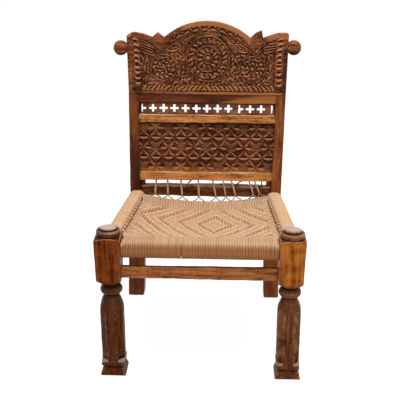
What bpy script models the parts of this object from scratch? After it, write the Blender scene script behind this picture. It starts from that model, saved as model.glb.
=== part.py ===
# Carved side chair with a woven rope seat. Metres, +Z up, front towards -Y, left is -X.
# Every timber piece is a separate solid, joined by tenons, grooves and pegs.
import math

import bmesh
import bpy
from mathutils import Matrix, Vector

# Clearances and rope
FIT_GAP = 0.0003
CUT_OVERRUN = 0.002
ROPE_LAYER = 0.0045
ROPE_RIB_PITCH = 0.009
ROPE_RIB_DEPTH = 0.0012
ROPE_CORNER = 0.005

# Plan of the frame, measured from the front faces of the front leg blocks
FRONT_WIDTH = 0.560
SEAT_DEPTH = 0.521
REAR_FOOT_SPREAD = 0.4676
REAR_SEAT_SPREAD = 0.449

# Front legs, stacked from the floor
LEG_SEGMENTS = 32
LEG_BLOCK = 0.070
LEG_BLOCK_EASE = 0.0015
FOOT_BASE_WIDTH = 0.067
FOOT_BASE_TOP_WIDTH = 0.056
FOOT_BASE_HEIGHT = 0.0235
FOOT_EASE = 0.002
FOOT_GROOVE_WIDTH = 0.053
FOOT_GROOVE_HEIGHT = 0.005
FOOT_BAND_WIDTH = 0.064
FOOT_BAND_HEIGHT = 0.0115
SHAFT_WIDTH = 0.061
SHAFT_STOP_HEIGHT = 0.018
SHAFT_HEIGHT = 0.147
DOME_HEIGHT = 0.035
NECK_DIAMETER = 0.040
BEAD_DIAMETER = 0.0585
BEAD_HEIGHT = 0.034
LOWER_POMMEL_HEIGHT = 0.0195
BLOCK_HEIGHT = 0.1105
UPPER_POMMEL_HEIGHT = 0.008
RING_DIAMETER = 0.065
RING_WAIST_DIAMETER = 0.057
RING_HEIGHT = 0.018
BUTTON_DIAMETER = 0.042
BUTTON_HEIGHT = 0.015
BUTTON_PROFILE = ((0.96, 0.0), (1.0, 0.3), (0.96, 0.65), (0.78, 0.9), (0.45, 1.0))
WORN_CORNER_WIDTH = 0.022
WORN_CORNER_DEPTH = 0.007

# Rear posts: a square leg below, a slimmer leaning stile above
REAR_LEG_WIDTH = 0.0485
REAR_LEG_DEPTH = 0.045
REAR_LEG_EASE = 0.004
POST_SHOULDER_DROP = 0.002
POST_SHOULDER_RISE = 0.014
STILE_SPREAD = 0.466
STILE_WIDTH = 0.032
STILE_DEPTH = 0.032
STILE_EASE = 0.0015
STILE_TENON_WIDTH = 0.018
STILE_TENON_HEIGHT = 0.040
BACK_LEAN = math.radians(3.5)
BACK_BEND_DROP = 0.002

# Seat rails, bare timber under the rope
RAIL_WIDTH = 0.039
RAIL_HEIGHT = 0.039
SEAT_FRONT_DROP = 0.002
SEAT_SIDE_DROP = 0.014
FRONT_ROPE_SETBACK = 0.010
REAR_RAIL_WIDTH = 0.034
REAR_RAIL_HEIGHT = 0.033
REAR_RAIL_RISE = 0.0045
REAR_RAIL_SETBACK = 0.012
REAR_RAIL_EASE = 0.005
RAIL_TENON_WIDTH = 0.022
RAIL_TENON_HEIGHT = 0.025
RAIL_TENON_LENGTH = 0.017
REAR_TENON_WIDTH = 0.016
REAR_TENON_HEIGHT = 0.020

# Stretchers
STRETCHER_WIDTH = 0.022
STRETCHER_HEIGHT = 0.033
STRETCHER_CLEAR = 0.028
STRETCHER_TENON_WIDTH = 0.012
STRETCHER_TENON_HEIGHT = 0.023
STRETCHER_TENON_LENGTH = 0.017
BAR_EASE = 0.0015

# Back, stacked upwards along the lean from the bend in the posts
LOWER_RAIL_RISE = 0.0165
LOWER_RAIL_HEIGHT = 0.028
PANEL_SIGHT = 0.163
MIDDLE_RAIL_HEIGHT = 0.030
STRIP_SIGHT = 0.0375
UPPER_RAIL_HEIGHT = 0.025
BACK_RAIL_DEPTH = 0.028
BACK_RAIL_SETBACK = 0.002
BACK_TENON_LENGTH = 0.015
BACK_TENON_HEIGHT = 0.011
BACK_TENON_THICKNESS = 0.0085
GROOVE_SETBACK = 0.011
GROOVE_WIDTH = 0.010
GROOVE_DEPTH = 0.008
PANEL_FIELD_THICKNESS = 0.015
PANEL_FIELD_MARGIN = 0.012

# Pierced strip
CROSS_COUNT = 13
CROSS_PITCH = 0.0345
CROSS_WIDTH = 0.0265
CROSS_HEIGHT = 0.030
CROSS_ARM = 0.0095
END_SLOT = 0.005

# Crest board
CREST_THICKNESS = 0.038
CREST_PROUD = 0.003
CREST_EASE = 0.0025
CREST_HEIGHT = 0.228
CREST_FOOT_INSET = 0.0005
CREST_FLARE = 0.0055
CREST_CORNER_HEIGHT = 0.181
CREST_SHOULDER_HEIGHT = 0.1925
CREST_SHOULDER_PLACE = 0.232
CREST_CORNER_BULGE = 0.0037
CREST_SHOULDER_BULGE = 0.0036
ARCH_HALF_WIDTH = 0.136
ARCH_SPRING_HEIGHT = 0.177
PEAK_NOTCH_PLACE = 0.174
LEFT_PEAK_PLACE = 0.1566
LEFT_PEAK_HEIGHT = 0.192
RIGHT_PEAK_PLACE = 0.170
RIGHT_PEAK_HEIGHT = 0.2005
RIGHT_SHELF_PLACE = 0.1524
RIGHT_SHELF_HEIGHT = 0.193
EAR_PROJECTION = 0.0416
EAR_DIAMETER = 0.046
EAR_NECK_HEIGHT = 0.037
EAR_PLACE_HEIGHT = 0.146
EAR_STEPS = 8
ARCH_STEPS = 14
FIELD_SINK = 0.004
FIELD_HALF_WIDTH = 0.207
FIELD_BOTTOM = 0.026
FIELD_SHOULDER = 0.160
FIELD_ARCH_HALF_WIDTH = 0.120
FIELD_ARCH_TOP = 0.205
LARGE_ROUNDEL_DIAMETER = 0.146
LARGE_ROUNDEL_HEIGHT = 0.110
LARGE_ROUNDEL_INNER = 0.076
SMALL_ROUNDEL_DIAMETER = 0.088
SMALL_ROUNDEL_PLACE = 0.140
SMALL_ROUNDEL_HEIGHT = 0.0785
SMALL_ROUNDEL_INNER = 0.052
ROUNDEL_RIM = 0.008
ROUNDEL_BOSS = 0.022
ROUNDEL_SIDES = 24

# Woven seat, edge cord and lacing
MAT_THICKNESS = 0.008
MAT_DROP = 0.004
MAT_REAR_SETBACK = 0.039
MAT_SAG = 0.026
MAT_SAG_LENGTH = 0.236
MAT_FALL_LENGTH = 0.141
MAT_COLUMNS = 16
MAT_ROWS = 12
MAT_CORNER_STEP = 0.004
EDGE_CORD_DIAMETER = 0.009
EDGE_CORD_STEPS = 20
LACE_DIAMETER = 0.0036
LACE_HOLE_DIAMETER = 0.0052
LACE_HOLE_SIDES = 8
LACE_ENTRY_SETBACK = 0.010
LACE_EXIT_RISE = 0.012
LACE_FORK = 0.77
LACE_LEFT_LEG = 0.022
LACE_RIGHT_LEG = 0.013
LACE_LEFT_SHARE = 0.45
LACE_RIGHT_SHARE = 0.3
LACE_PARTING = 1.25
LACE_LOOP_WAIST = 0.35
LACE_LOOP_REACH = 3.2
LACE_LOOP_RETURN = 2.6
LACE_TAIL_TURNS = (-1.2, -0.2)
LACE_ROUND_TURNS = 6
LACE_PLACES = (-0.166, -0.129, -0.086, -0.030, 0.018, 0.054, 0.080, 0.137, 0.160)

# Pegs
PEG_DIAMETER = 0.007
PEG_SIDES = 12
PEG_SINK = 0.0005
PEG_BLIND = 0.014

SIDES = {"left": -1, "right": 1}


# Derived places
BLOCK_BOTTOM = (FOOT_BASE_HEIGHT + FOOT_GROOVE_HEIGHT + FOOT_BAND_HEIGHT + SHAFT_STOP_HEIGHT
                + SHAFT_HEIGHT + DOME_HEIGHT + BEAD_HEIGHT + LOWER_POMMEL_HEIGHT)
FRONT_LEG_X = (FRONT_WIDTH - LEG_BLOCK) / 2
BLOCK_INNER = FRONT_LEG_X - LEG_BLOCK / 2
ROPE_SECTION = Vector((RAIL_WIDTH + 2 * ROPE_LAYER, RAIL_HEIGHT + 2 * ROPE_LAYER))
SEAT_FRONT_HEIGHT = BLOCK_BOTTOM + BLOCK_HEIGHT - SEAT_FRONT_DROP
SEAT_SIDE_HEIGHT = SEAT_FRONT_HEIGHT - SEAT_SIDE_DROP
BACK_BEND_HEIGHT = SEAT_FRONT_HEIGHT - BACK_BEND_DROP
POST_SHOULDER_HEIGHT = BACK_BEND_HEIGHT - POST_SHOULDER_DROP
MAT_REAR_EDGE = SEAT_DEPTH - MAT_REAR_SETBACK
FRONT_RAIL_Y = FRONT_ROPE_SETBACK + ROPE_SECTION.x / 2
FRONT_RAIL_Z = SEAT_FRONT_HEIGHT - ROPE_SECTION.y / 2
SIDE_RAIL_Z = SEAT_SIDE_HEIGHT - ROPE_SECTION.y / 2
REAR_RAIL_Y = SEAT_DEPTH + REAR_RAIL_SETBACK + REAR_RAIL_WIDTH / 2
REAR_RAIL_Z = SEAT_SIDE_HEIGHT + REAR_RAIL_RISE - REAR_RAIL_HEIGHT / 2
STRETCHER_Z = SEAT_FRONT_HEIGHT - ROPE_SECTION.y - STRETCHER_CLEAR - STRETCHER_HEIGHT / 2
STILE_X = STILE_SPREAD / 2
STILE_INNER = STILE_X - STILE_WIDTH / 2
LOWER_RAIL_TOP = LOWER_RAIL_RISE + LOWER_RAIL_HEIGHT
MIDDLE_RAIL_BOTTOM = LOWER_RAIL_TOP + PANEL_SIGHT
MIDDLE_RAIL_TOP = MIDDLE_RAIL_BOTTOM + MIDDLE_RAIL_HEIGHT
UPPER_RAIL_BOTTOM = MIDDLE_RAIL_TOP + STRIP_SIGHT
CREST_BOTTOM = UPPER_RAIL_BOTTOM + UPPER_RAIL_HEIGHT
GROOVE_MIDDLE = GROOVE_SETBACK + GROOVE_WIDTH / 2
TONGUE = GROOVE_WIDTH - 2 * FIT_GAP
CREST_BACK = CREST_THICKNESS - CREST_PROUD
BACK_PLACE = Matrix.Translation((0, SEAT_DEPTH, BACK_BEND_HEIGHT)) @ Matrix.Rotation(-BACK_LEAN, 4, "X")
OVERALL_DEPTH = (BACK_PLACE @ Vector((0, CREST_BACK, CREST_BOTTOM + CREST_HEIGHT))).y


def post_centre(z):
    share = z / POST_SHOULDER_HEIGHT
    return (REAR_FOOT_SPREAD + (REAR_SEAT_SPREAD - REAR_FOOT_SPREAD) * share) / 2


def post_inner(z):
    return post_centre(z) - REAR_LEG_WIDTH / 2


POST_SPLAY = (REAR_SEAT_SPREAD - REAR_FOOT_SPREAD) / 2 / POST_SHOULDER_HEIGHT


def side_rail_x(y):
    front = LEG_BLOCK
    share = (y - front) / (SEAT_DEPTH - front)
    return FRONT_LEG_X + (post_centre(SIDE_RAIL_Z) - FRONT_LEG_X) * share


# Scene and materials

for old in list(bpy.data.objects):
    bpy.data.objects.remove(old, do_unlink=True)

chair = bpy.data.objects.new("chair", None)
chair.location = (0, -OVERALL_DEPTH / 2, 0)
back_frame = bpy.data.objects.new("back_frame", None)
back_frame.matrix_world = BACK_PLACE
back_frame.parent = chair
for empty in (chair, back_frame):
    bpy.context.scene.collection.objects.link(empty)


def finish(name, colour, roughness):
    material = bpy.data.materials.new(name)
    material.use_nodes = True
    shader = material.node_tree.nodes["Principled BSDF"]
    shader.inputs["Base Color"].default_value = (*colour, 1)
    shader.inputs["Roughness"].default_value = roughness
    shader.inputs["Metallic"].default_value = 0
    material.diffuse_color = (*colour, 1)
    return material


CARVED_WOOD = finish("carved_wood", (0.165, 0.066, 0.030), 0.62)
RAIL_WOOD = finish("rail_wood", (0.320, 0.150, 0.055), 0.50)
DARK_WOOD = finish("dark_wood", (0.090, 0.035, 0.016), 0.55)
LEG_WOOD = finish("leg_wood", (0.200, 0.085, 0.035), 0.48)
PEG_WOOD = finish("peg_wood", (0.140, 0.060, 0.028), 0.60)
ROPE = finish("rope", (0.440, 0.270, 0.140), 0.92)


# Mesh helpers

def place(name, bm, material, parent=chair):
    bmesh.ops.recalc_face_normals(bm, faces=bm.faces)
    mesh = bpy.data.meshes.new(name)
    bm.to_mesh(mesh)
    bm.free()
    solid = bpy.data.objects.new(name, mesh)
    bpy.context.scene.collection.objects.link(solid)
    solid.parent = parent
    if material:
        mesh.materials.append(material)
    return solid


def round_off(solid, angle=math.radians(40)):
    solid.data.shade_smooth()
    solid.data.set_sharp_from_angle(angle=angle)


def add_loft(bm, rings):
    loops = [[bm.verts.new(point) for point in ring] for ring in rings]
    for below, above in zip(loops, loops[1:]):
        for i in range(len(below)):
            j = (i + 1) % len(below)
            bm.faces.new((below[i], below[j], above[j], above[i]))
    bm.faces.new(loops[0][::-1])
    bm.faces.new(loops[-1])


def loft(name, rings, material, parent=chair):
    bm = bmesh.new()
    add_loft(bm, rings)
    return place(name, bm, material, parent)


def prism(name, outline, near, far, material, parent=chair):
    rings = [[Vector((x, y, z)) for x, z in outline] for y in (near, far)]
    return loft(name, rings, material, parent)


def helper(solid):
    solid.hide_render = True
    solid.display_type = "WIRE"
    return solid


def combine(target, tool, operation):
    boolean = target.modifiers.new(tool.name, "BOOLEAN")
    boolean.operation = operation
    boolean.solver = "EXACT"
    boolean.object = helper(tool)


def cut(tool, *targets):
    for target in targets:
        combine(target, tool, "DIFFERENCE")


def rectangle(half_width, half_height, ease):
    w, h = half_width, half_height
    corners = ((w, h - ease), (w - ease, h), (ease - w, h), (-w, h - ease),
               (-w, ease - h), (ease - w, -h), (w - ease, -h), (w, ease - h))
    return [Vector(corner) for corner in corners]


def arc(start, end, rise, steps):
    # Points after start, up to end, on the circle that rises by this much over the chord's middle.
    start, end = Vector(start), Vector(end)
    chord = end - start
    normal = Vector((chord.y, -chord.x)).normalized()
    half = chord.length / 2
    radius = (half * half + rise * rise) / (2 * rise)
    centre = (start + end) / 2 + normal * (rise - radius)
    sweep = 2 * math.asin(max(-1, min(1, half / radius)))
    points = []
    for step in range(1, steps + 1):
        turn = Matrix.Rotation(sweep * step / steps, 2)
        points.append(centre + turn @ (start - centre))
    return points


def disc(name, x, z, diameter, near, far, parent):
    turns = [2 * math.pi * i / ROUNDEL_SIDES for i in range(ROUNDEL_SIDES)]
    outline = [(x + math.cos(a) * diameter / 2, z + math.sin(a) * diameter / 2) for a in turns]
    return prism(name, outline, near, far, None, parent)


# Bars with a tenon at each end

AXES = {"x": 0, "y": 1}


def bar_ring(axis, at, start, end, half_across, half_height, ease, end_lean):
    k = AXES[axis]
    share = (at - start[k]) / (end[k] - start[k])
    centre = start.lerp(end, share)
    side = 1 if share > 0.5 else -1
    ring = []
    for across, rise in rectangle(half_across, half_height, ease):
        along = side * end_lean * rise
        offset = (along, across, rise) if axis == "x" else (across, along, rise)
        ring.append(centre + Vector(offset))
    return ring


def bar(name, axis, start, end, section, tenon, length, material, ease=BAR_EASE, end_lean=0.0):
    k = AXES[axis]
    big = (section[0] / 2, section[1] / 2, ease)
    small = (tenon[0] / 2, tenon[1] / 2, BAR_EASE)
    stations = ((start[k] - length, small), (start[k], small), (start[k], big),
                (end[k], big), (end[k], small), (end[k] + length, small))
    rings = [bar_ring(axis, at, start, end, *size, end_lean) for at, size in stations]
    return loft(name, rings, material)


def mortises(name, axis, start, end, tenon, length):
    k = AXES[axis]
    size = (tenon[0] / 2 + FIT_GAP, tenon[1] / 2 + FIT_GAP, BAR_EASE)
    reach = length + FIT_GAP
    bm = bmesh.new()
    for near, far in ((start[k] - reach, start[k] + CUT_OVERRUN),
                      (end[k] - CUT_OVERRUN, end[k] + reach)):
        add_loft(bm, [bar_ring(axis, at, start, end, *size, 0.0) for at in (near, far)])
    return place(name, bm, None)


def peg(name, axis, start, length, parent=chair):
    # A round peg from start along the axis; its hole is cut a little wider and longer.
    across = axis.orthogonal().normalized()
    solids = []
    for label, grow, far in ((name, 0.0, length), (name + "_hole", FIT_GAP, length + FIT_GAP)):
        near = 0.0 if label == name else -PEG_SINK - CUT_OVERRUN
        radius = PEG_DIAMETER / 2 + grow
        rings = []
        for at in (near, far):
            ring = []
            for i in range(PEG_SIDES):
                a = 2 * math.pi * i / PEG_SIDES
                spoke = Vector((math.cos(a) * radius, math.sin(a) * radius))
                ring.append(start + axis * at + across * spoke.x + axis.cross(across) * spoke.y)
            rings.append(ring)
        solids.append(loft(label, rings, PEG_WOOD if label == name else None, parent))
    round_off(solids[0])
    return solids


# Front legs: a turned blank cut by the square of the block and the octagon of the shaft

def leg_ring(z, turned, half_width, diagonal):
    ring = []
    for i in range(LEG_SEGMENTS):
        a = 2 * math.pi * i / LEG_SEGMENTS
        flat = max(abs(math.cos(a)), abs(math.sin(a)))
        slant = (abs(math.cos(a)) + abs(math.sin(a))) / math.sqrt(2)
        radius = min(turned, half_width / flat, diagonal / slant)
        ring.append(Vector((math.cos(a) * radius, math.sin(a) * radius, z)))
    return ring


def square_ring(z, width, ease=0.0):
    half = width / 2
    return leg_ring(z, width, half, half * math.sqrt(2) - ease)


def turned_ring(z, diameter):
    return leg_ring(z, diameter / 2, diameter, diameter)


def front_leg_rings():
    rings = []
    z = 0.0
    rings.append(square_ring(z, FOOT_BASE_WIDTH - 2 * FOOT_EASE))
    rings.append(square_ring(z + FOOT_EASE, FOOT_BASE_WIDTH))
    z += FOOT_BASE_HEIGHT
    rings.append(square_ring(z, FOOT_BASE_TOP_WIDTH))
    rings.append(square_ring(z, FOOT_GROOVE_WIDTH))
    z += FOOT_GROOVE_HEIGHT
    rings.append(square_ring(z, FOOT_GROOVE_WIDTH))
    rings.append(square_ring(z, FOOT_BAND_WIDTH))
    z += FOOT_BAND_HEIGHT
    rings.append(square_ring(z - FOOT_EASE, FOOT_BAND_WIDTH))
    half = SHAFT_WIDTH / 2
    for share in (0.0, 0.35, 0.7, 1.0):
        diagonal = half * (math.sqrt(2) + (1 - math.sqrt(2)) * share)
        rings.append(leg_ring(z + SHAFT_STOP_HEIGHT * share, SHAFT_WIDTH, half, diagonal))
    z += SHAFT_STOP_HEIGHT + SHAFT_HEIGHT
    blank = half / math.cos(math.pi / 8)
    neck = NECK_DIAMETER / 2
    for share in (0.0, 0.4, 0.65, 0.85, 1.0):
        turned = neck + (blank - neck) * math.sqrt(1 - share * share)
        rings.append(leg_ring(z + DOME_HEIGHT * share, turned, half, half))
    z += DOME_HEIGHT
    for share in (-0.85, -0.5, 0.0, 0.5, 0.85, 1.0):
        swell = (BEAD_DIAMETER - NECK_DIAMETER) * math.sqrt(1 - share * share)
        rings.append(turned_ring(z + BEAD_HEIGHT * (1 + share) / 2, NECK_DIAMETER + swell))
    z += BEAD_HEIGHT
    block = LEG_BLOCK / 2
    corner = block * math.sqrt(2) - LEG_BLOCK_EASE
    for share in (0.25, 0.4, 0.65, 1.0):
        turned = neck + (corner + LEG_BLOCK_EASE - neck) * math.sin(share * math.pi / 2)
        rings.append(leg_ring(z + LOWER_POMMEL_HEIGHT * share, turned, block, corner))
    z += LOWER_POMMEL_HEIGHT + BLOCK_HEIGHT
    waist = RING_WAIST_DIAMETER / 2
    for share in (1.0, 0.65, 0.35, 0.0):
        turned = waist + (corner + LEG_BLOCK_EASE - waist) * share
        rise = UPPER_POMMEL_HEIGHT * math.sqrt(1 - share * share)
        rings.append(leg_ring(z + rise, turned, block, corner))
    z += UPPER_POMMEL_HEIGHT
    for share in (-0.8, 0.0, 0.8, 1.0):
        swell = (RING_DIAMETER - RING_WAIST_DIAMETER) * math.sqrt(1 - share * share)
        rings.append(turned_ring(z + RING_HEIGHT * (1 + share) / 2, RING_WAIST_DIAMETER + swell))
    z += RING_HEIGHT
    for width, share in BUTTON_PROFILE:
        rings.append(turned_ring(z + BUTTON_HEIGHT * share, BUTTON_DIAMETER * width))
    return rings


def front_leg(side):
    leg = loft("front_leg_" + side, front_leg_rings(), LEG_WOOD)
    leg.location = (SIDES[side] * FRONT_LEG_X, LEG_BLOCK / 2, 0)
    round_off(leg)
    return leg


def wear_corner(leg):
    # The right block's outer front corner is worn away in one broad slanting facet.
    corner = Vector((FRONT_WIDTH / 2, 0.0))
    inner = corner - Vector((WORN_CORNER_WIDTH, 0.0))
    outer = corner + Vector((0.0, WORN_CORNER_DEPTH))
    overrun = (outer - inner) / 2
    plan = (inner - overrun, outer + overrun, Vector((outer.x + overrun.x, inner.y - overrun.y)))
    floor = BLOCK_BOTTOM - LOWER_POMMEL_HEIGHT
    ceiling = BLOCK_BOTTOM + BLOCK_HEIGHT + UPPER_POMMEL_HEIGHT
    rings = [[Vector((*point, z)) for point in plan] for z in (floor, ceiling)]
    cut(loft("worn_corner", rings, None), leg)


# Rear posts

def rear_post(side):
    s = SIDES[side]

    def leg_section(z, inset):
        centre = Vector((s * post_centre(z), SEAT_DEPTH + REAR_LEG_DEPTH / 2))
        outline = rectangle(REAR_LEG_WIDTH / 2 - inset, REAR_LEG_DEPTH / 2 - inset, REAR_LEG_EASE)
        return [Vector((centre.x + p.x, centre.y + p.y, z)) for p in outline]

    def stile_section(height, width, depth, middle, ease):
        outline = rectangle(width / 2, depth / 2, ease)
        return [BACK_PLACE @ Vector((s * STILE_X + p.x, middle + p.y, height)) for p in outline]

    seat = (STILE_WIDTH, STILE_DEPTH, STILE_DEPTH / 2, STILE_EASE)
    tenon = (STILE_TENON_WIDTH, TONGUE, GROOVE_MIDDLE, STILE_EASE)
    top = CREST_BOTTOM - FIT_GAP
    rings = [leg_section(0.0, REAR_LEG_EASE), leg_section(REAR_LEG_EASE, 0.0),
             leg_section(POST_SHOULDER_HEIGHT, 0.0), stile_section(POST_SHOULDER_RISE, *seat),
             stile_section(top, *seat), stile_section(top, *tenon),
             stile_section(CREST_BOTTOM + STILE_TENON_HEIGHT, *tenon)]
    return loft("rear_post_" + side, rings, LEG_WOOD)


# Seat frame and stretchers

def seat_frame(legs, posts):
    inner = BLOCK_INNER - FIT_GAP
    tenon = (RAIL_TENON_WIDTH, RAIL_TENON_HEIGHT)
    section = (RAIL_WIDTH, RAIL_HEIGHT)
    ends = [Vector((s * inner, FRONT_RAIL_Y, FRONT_RAIL_Z)) for s in (-1, 1)]
    rails = {}
    rails["front"] = bar("seat_rail_front", "x", *ends, section, tenon, RAIL_TENON_LENGTH, DARK_WOOD)
    hole = mortises("front_rail_mortises", "x", *ends, tenon, RAIL_TENON_LENGTH)
    cut(hole, *legs.values())
    low, high = LEG_BLOCK + FIT_GAP, SEAT_DEPTH - FIT_GAP
    for side, s in SIDES.items():
        ends = [Vector((s * side_rail_x(y), y, SIDE_RAIL_Z)) for y in (low, high)]
        rails[side] = bar("seat_rail_" + side, "y", *ends, section, tenon, RAIL_TENON_LENGTH, DARK_WOOD)
        hole = mortises(side + "_rail_mortises", "y", *ends, tenon, RAIL_TENON_LENGTH)
        cut(hole, legs[side], posts[side])
    tenon = (REAR_TENON_WIDTH, REAR_TENON_HEIGHT)
    reach = post_inner(REAR_RAIL_Z) - FIT_GAP
    ends = [Vector((s * reach, REAR_RAIL_Y, REAR_RAIL_Z)) for s in (-1, 1)]
    rails["rear"] = bar("seat_rail_rear", "x", *ends, (REAR_RAIL_WIDTH, REAR_RAIL_HEIGHT), tenon,
                        RAIL_TENON_LENGTH, DARK_WOOD, REAR_RAIL_EASE, POST_SPLAY)
    hole = mortises("rear_rail_mortises", "x", *ends, tenon, RAIL_TENON_LENGTH)
    cut(hole, *posts.values())
    return rails


def stretchers(legs, posts):
    section = (STRETCHER_WIDTH, STRETCHER_HEIGHT)
    tenon = (STRETCHER_TENON_WIDTH, STRETCHER_TENON_HEIGHT)
    rear_y = SEAT_DEPTH + REAR_LEG_DEPTH / 2
    runs = {"front": (BLOCK_INNER, LEG_BLOCK / 2, 0.0, legs),
            "rear": (post_inner(STRETCHER_Z), rear_y, POST_SPLAY, posts)}
    for name, (reach, y, lean, joined) in runs.items():
        ends = [Vector((s * (reach - FIT_GAP), y, STRETCHER_Z)) for s in (-1, 1)]
        bar("stretcher_" + name, "x", *ends, section, tenon, STRETCHER_TENON_LENGTH, RAIL_WOOD,
            end_lean=lean)
        hole = mortises(name + "_stretcher_mortises", "x", *ends, tenon, STRETCHER_TENON_LENGTH)
        cut(hole, *joined.values())
    for side, s in SIDES.items():
        ends = [Vector((s * FRONT_LEG_X, LEG_BLOCK + FIT_GAP, STRETCHER_Z)),
                Vector((s * post_centre(STRETCHER_Z), SEAT_DEPTH - FIT_GAP, STRETCHER_Z))]
        bar("stretcher_" + side, "y", *ends, section, tenon, STRETCHER_TENON_LENGTH, RAIL_WOOD)
        hole = mortises(side + "_stretcher_mortises", "y", *ends, tenon, STRETCHER_TENON_LENGTH)
        cut(hole, legs[side], posts[side])


def seat_pegs(legs, posts, rails):
    half_tenon = RAIL_TENON_LENGTH / 2
    for side, s in SIDES.items():
        inward = Vector((-s, 0, 0))
        start = Vector((s * (FRONT_WIDTH / 2 - PEG_SINK), LEG_BLOCK - half_tenon, SIDE_RAIL_Z))
        length = LEG_BLOCK / 2 + RAIL_TENON_WIDTH / 2 + PEG_DIAMETER / 2
        _, hole = peg("peg_front_" + side, inward, start, length)
        cut(hole, legs[side], rails[side])
        outer = post_centre(SIDE_RAIL_Z) + REAR_LEG_WIDTH / 2
        start = Vector((s * (outer - PEG_SINK), SEAT_DEPTH + half_tenon, SIDE_RAIL_Z))
        length = REAR_LEG_WIDTH / 2 + RAIL_TENON_WIDTH / 2
        _, hole = peg("peg_rear_" + side, inward, start, length)
        cut(hole, posts[side], rails[side])
        forward = Vector((0, -1, 0))
        start = Vector((s * (BLOCK_INNER + PEG_DIAMETER), LEG_BLOCK - PEG_SINK, FRONT_RAIL_Z))
        _, hole = peg("peg_front_rail_" + side, forward, start, LEG_BLOCK - PEG_BLIND)
        cut(hole, legs[side], rails["front"])
        x = post_inner(REAR_RAIL_Z) + half_tenon
        start = Vector((s * x, SEAT_DEPTH + REAR_LEG_DEPTH - PEG_SINK, REAR_RAIL_Z))
        length = SEAT_DEPTH + REAR_LEG_DEPTH - REAR_RAIL_Y + REAR_TENON_WIDTH / 2
        _, hole = peg("peg_rear_rail_" + side, forward, start, length)
        cut(hole, posts[side], rails["rear"])


# Back: three grooved rails, a pierced strip and a panel held between the stiles

def back_rail(name, bottom, height, groove_below, groove_above, posts):
    near, far = BACK_RAIL_SETBACK, BACK_RAIL_SETBACK + BACK_RAIL_DEPTH
    g0, g1 = GROOVE_SETBACK, GROOVE_SETBACK + GROOVE_WIDTH
    top = bottom + height
    outline = [(near, bottom)]
    if groove_below:
        outline += [(g0, bottom), (g0, bottom + GROOVE_DEPTH), (g1, bottom + GROOVE_DEPTH), (g1, bottom)]
    outline += [(far, bottom), (far, top)]
    if groove_above:
        outline += [(g1, top), (g1, top - GROOVE_DEPTH), (g0, top - GROOVE_DEPTH), (g0, top)]
    outline += [(near, top)]
    half = STILE_INNER - FIT_GAP
    rings = [[Vector((x, y, z)) for y, z in outline] for x in (-half, half)]
    rail = loft(name, rings, RAIL_WOOD, back_frame)
    web_bottom = bottom + (GROOVE_DEPTH if groove_below else 0)
    web_top = top - (GROOVE_DEPTH if groove_above else 0)
    middle = (web_bottom + web_top) / 2
    tools = []
    for label, grow in (("_tenons", 0.0), ("_mortises", FIT_GAP)):
        reach = STILE_INNER + BACK_TENON_LENGTH + grow
        edge = rectangle(BACK_TENON_THICKNESS / 2 + grow, BACK_TENON_HEIGHT / 2 + grow, FIT_GAP)
        rings = [[Vector((x, GROOVE_MIDDLE + p.x, middle + p.y)) for p in edge] for x in (-reach, reach)]
        tools.append(helper(loft(name + label, rings, None, back_frame)))
    combine(rail, tools[0], "UNION")
    cut(tools[1], *posts.values())
    return rail


def stile_grooves(posts):
    near = GROOVE_SETBACK
    for side, s in SIDES.items():
        x0 = s * (STILE_INNER - CUT_OVERRUN)
        x1 = s * (STILE_INNER + GROOVE_DEPTH)
        z0 = LOWER_RAIL_TOP - GROOVE_DEPTH
        z1 = UPPER_RAIL_BOTTOM + GROOVE_DEPTH
        outline = ((x0, z0), (x1, z0), (x1, z1), (x0, z1))
        groove = prism("groove_" + side, outline, near, near + GROOVE_WIDTH, None, back_frame)
        cut(groove, posts[side])


def tongue_rectangle(bottom, top, inset):
    half = STILE_INNER + GROOVE_DEPTH - FIT_GAP - inset
    low = bottom - GROOVE_DEPTH + FIT_GAP + inset
    high = top + GROOVE_DEPTH - FIT_GAP - inset
    return ((-half, low), (half, low), (half, high), (-half, high))


def carved_panel():
    front = GROOVE_SETBACK + FIT_GAP
    edge = tongue_rectangle(LOWER_RAIL_TOP, MIDDLE_RAIL_BOTTOM, 0.0)
    field = tongue_rectangle(LOWER_RAIL_TOP, MIDDLE_RAIL_BOTTOM, GROOVE_DEPTH + PANEL_FIELD_MARGIN)
    stations = ((front, edge), (front + TONGUE, edge), (front + TONGUE, field),
                (front + PANEL_FIELD_THICKNESS, field))
    rings = [[Vector((x, y, z)) for x, z in outline] for y, outline in stations]
    return loft("carved_panel", rings, CARVED_WOOD, back_frame)


def cross_outline(x, z, index):
    arm, half = CROSS_ARM / 2, CROSS_HEIGHT / 2
    left, right = x - CROSS_WIDTH / 2, x + CROSS_WIDTH / 2
    if index == CROSS_COUNT - 1:
        slot = END_SLOT / 2
        return [(x - slot, z - half), (x + slot, z - half), (x + slot, z + half), (x - slot, z + half)]
    points = [(x - arm, z - half), (x + arm, z - half), (x + arm, z - arm), (right, z - arm),
              (right, z + arm), (x + arm, z + arm), (x + arm, z + half), (x - arm, z + half)]
    if index > 0:
        points += [(x - arm, z + arm), (left, z + arm), (left, z - arm), (x - arm, z - arm)]
    return points


def pierced_strip():
    front = GROOVE_SETBACK + FIT_GAP
    outline = tongue_rectangle(MIDDLE_RAIL_TOP, UPPER_RAIL_BOTTOM, 0.0)
    strip = prism("pierced_strip", outline, front, front + TONGUE, CARVED_WOOD, back_frame)
    middle = (MIDDLE_RAIL_TOP + UPPER_RAIL_BOTTOM) / 2
    bm = bmesh.new()
    for index in range(CROSS_COUNT):
        x = (index - (CROSS_COUNT - 1) / 2) * CROSS_PITCH
        outline = cross_outline(x, middle, index)
        depths = (front - CUT_OVERRUN, front + TONGUE + CUT_OVERRUN)
        add_loft(bm, [[Vector((px, y, pz)) for px, pz in outline] for y in depths])
    cut(place("cross_cuts", bm, None, back_frame), strip)
    return strip


# Crest board

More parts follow.
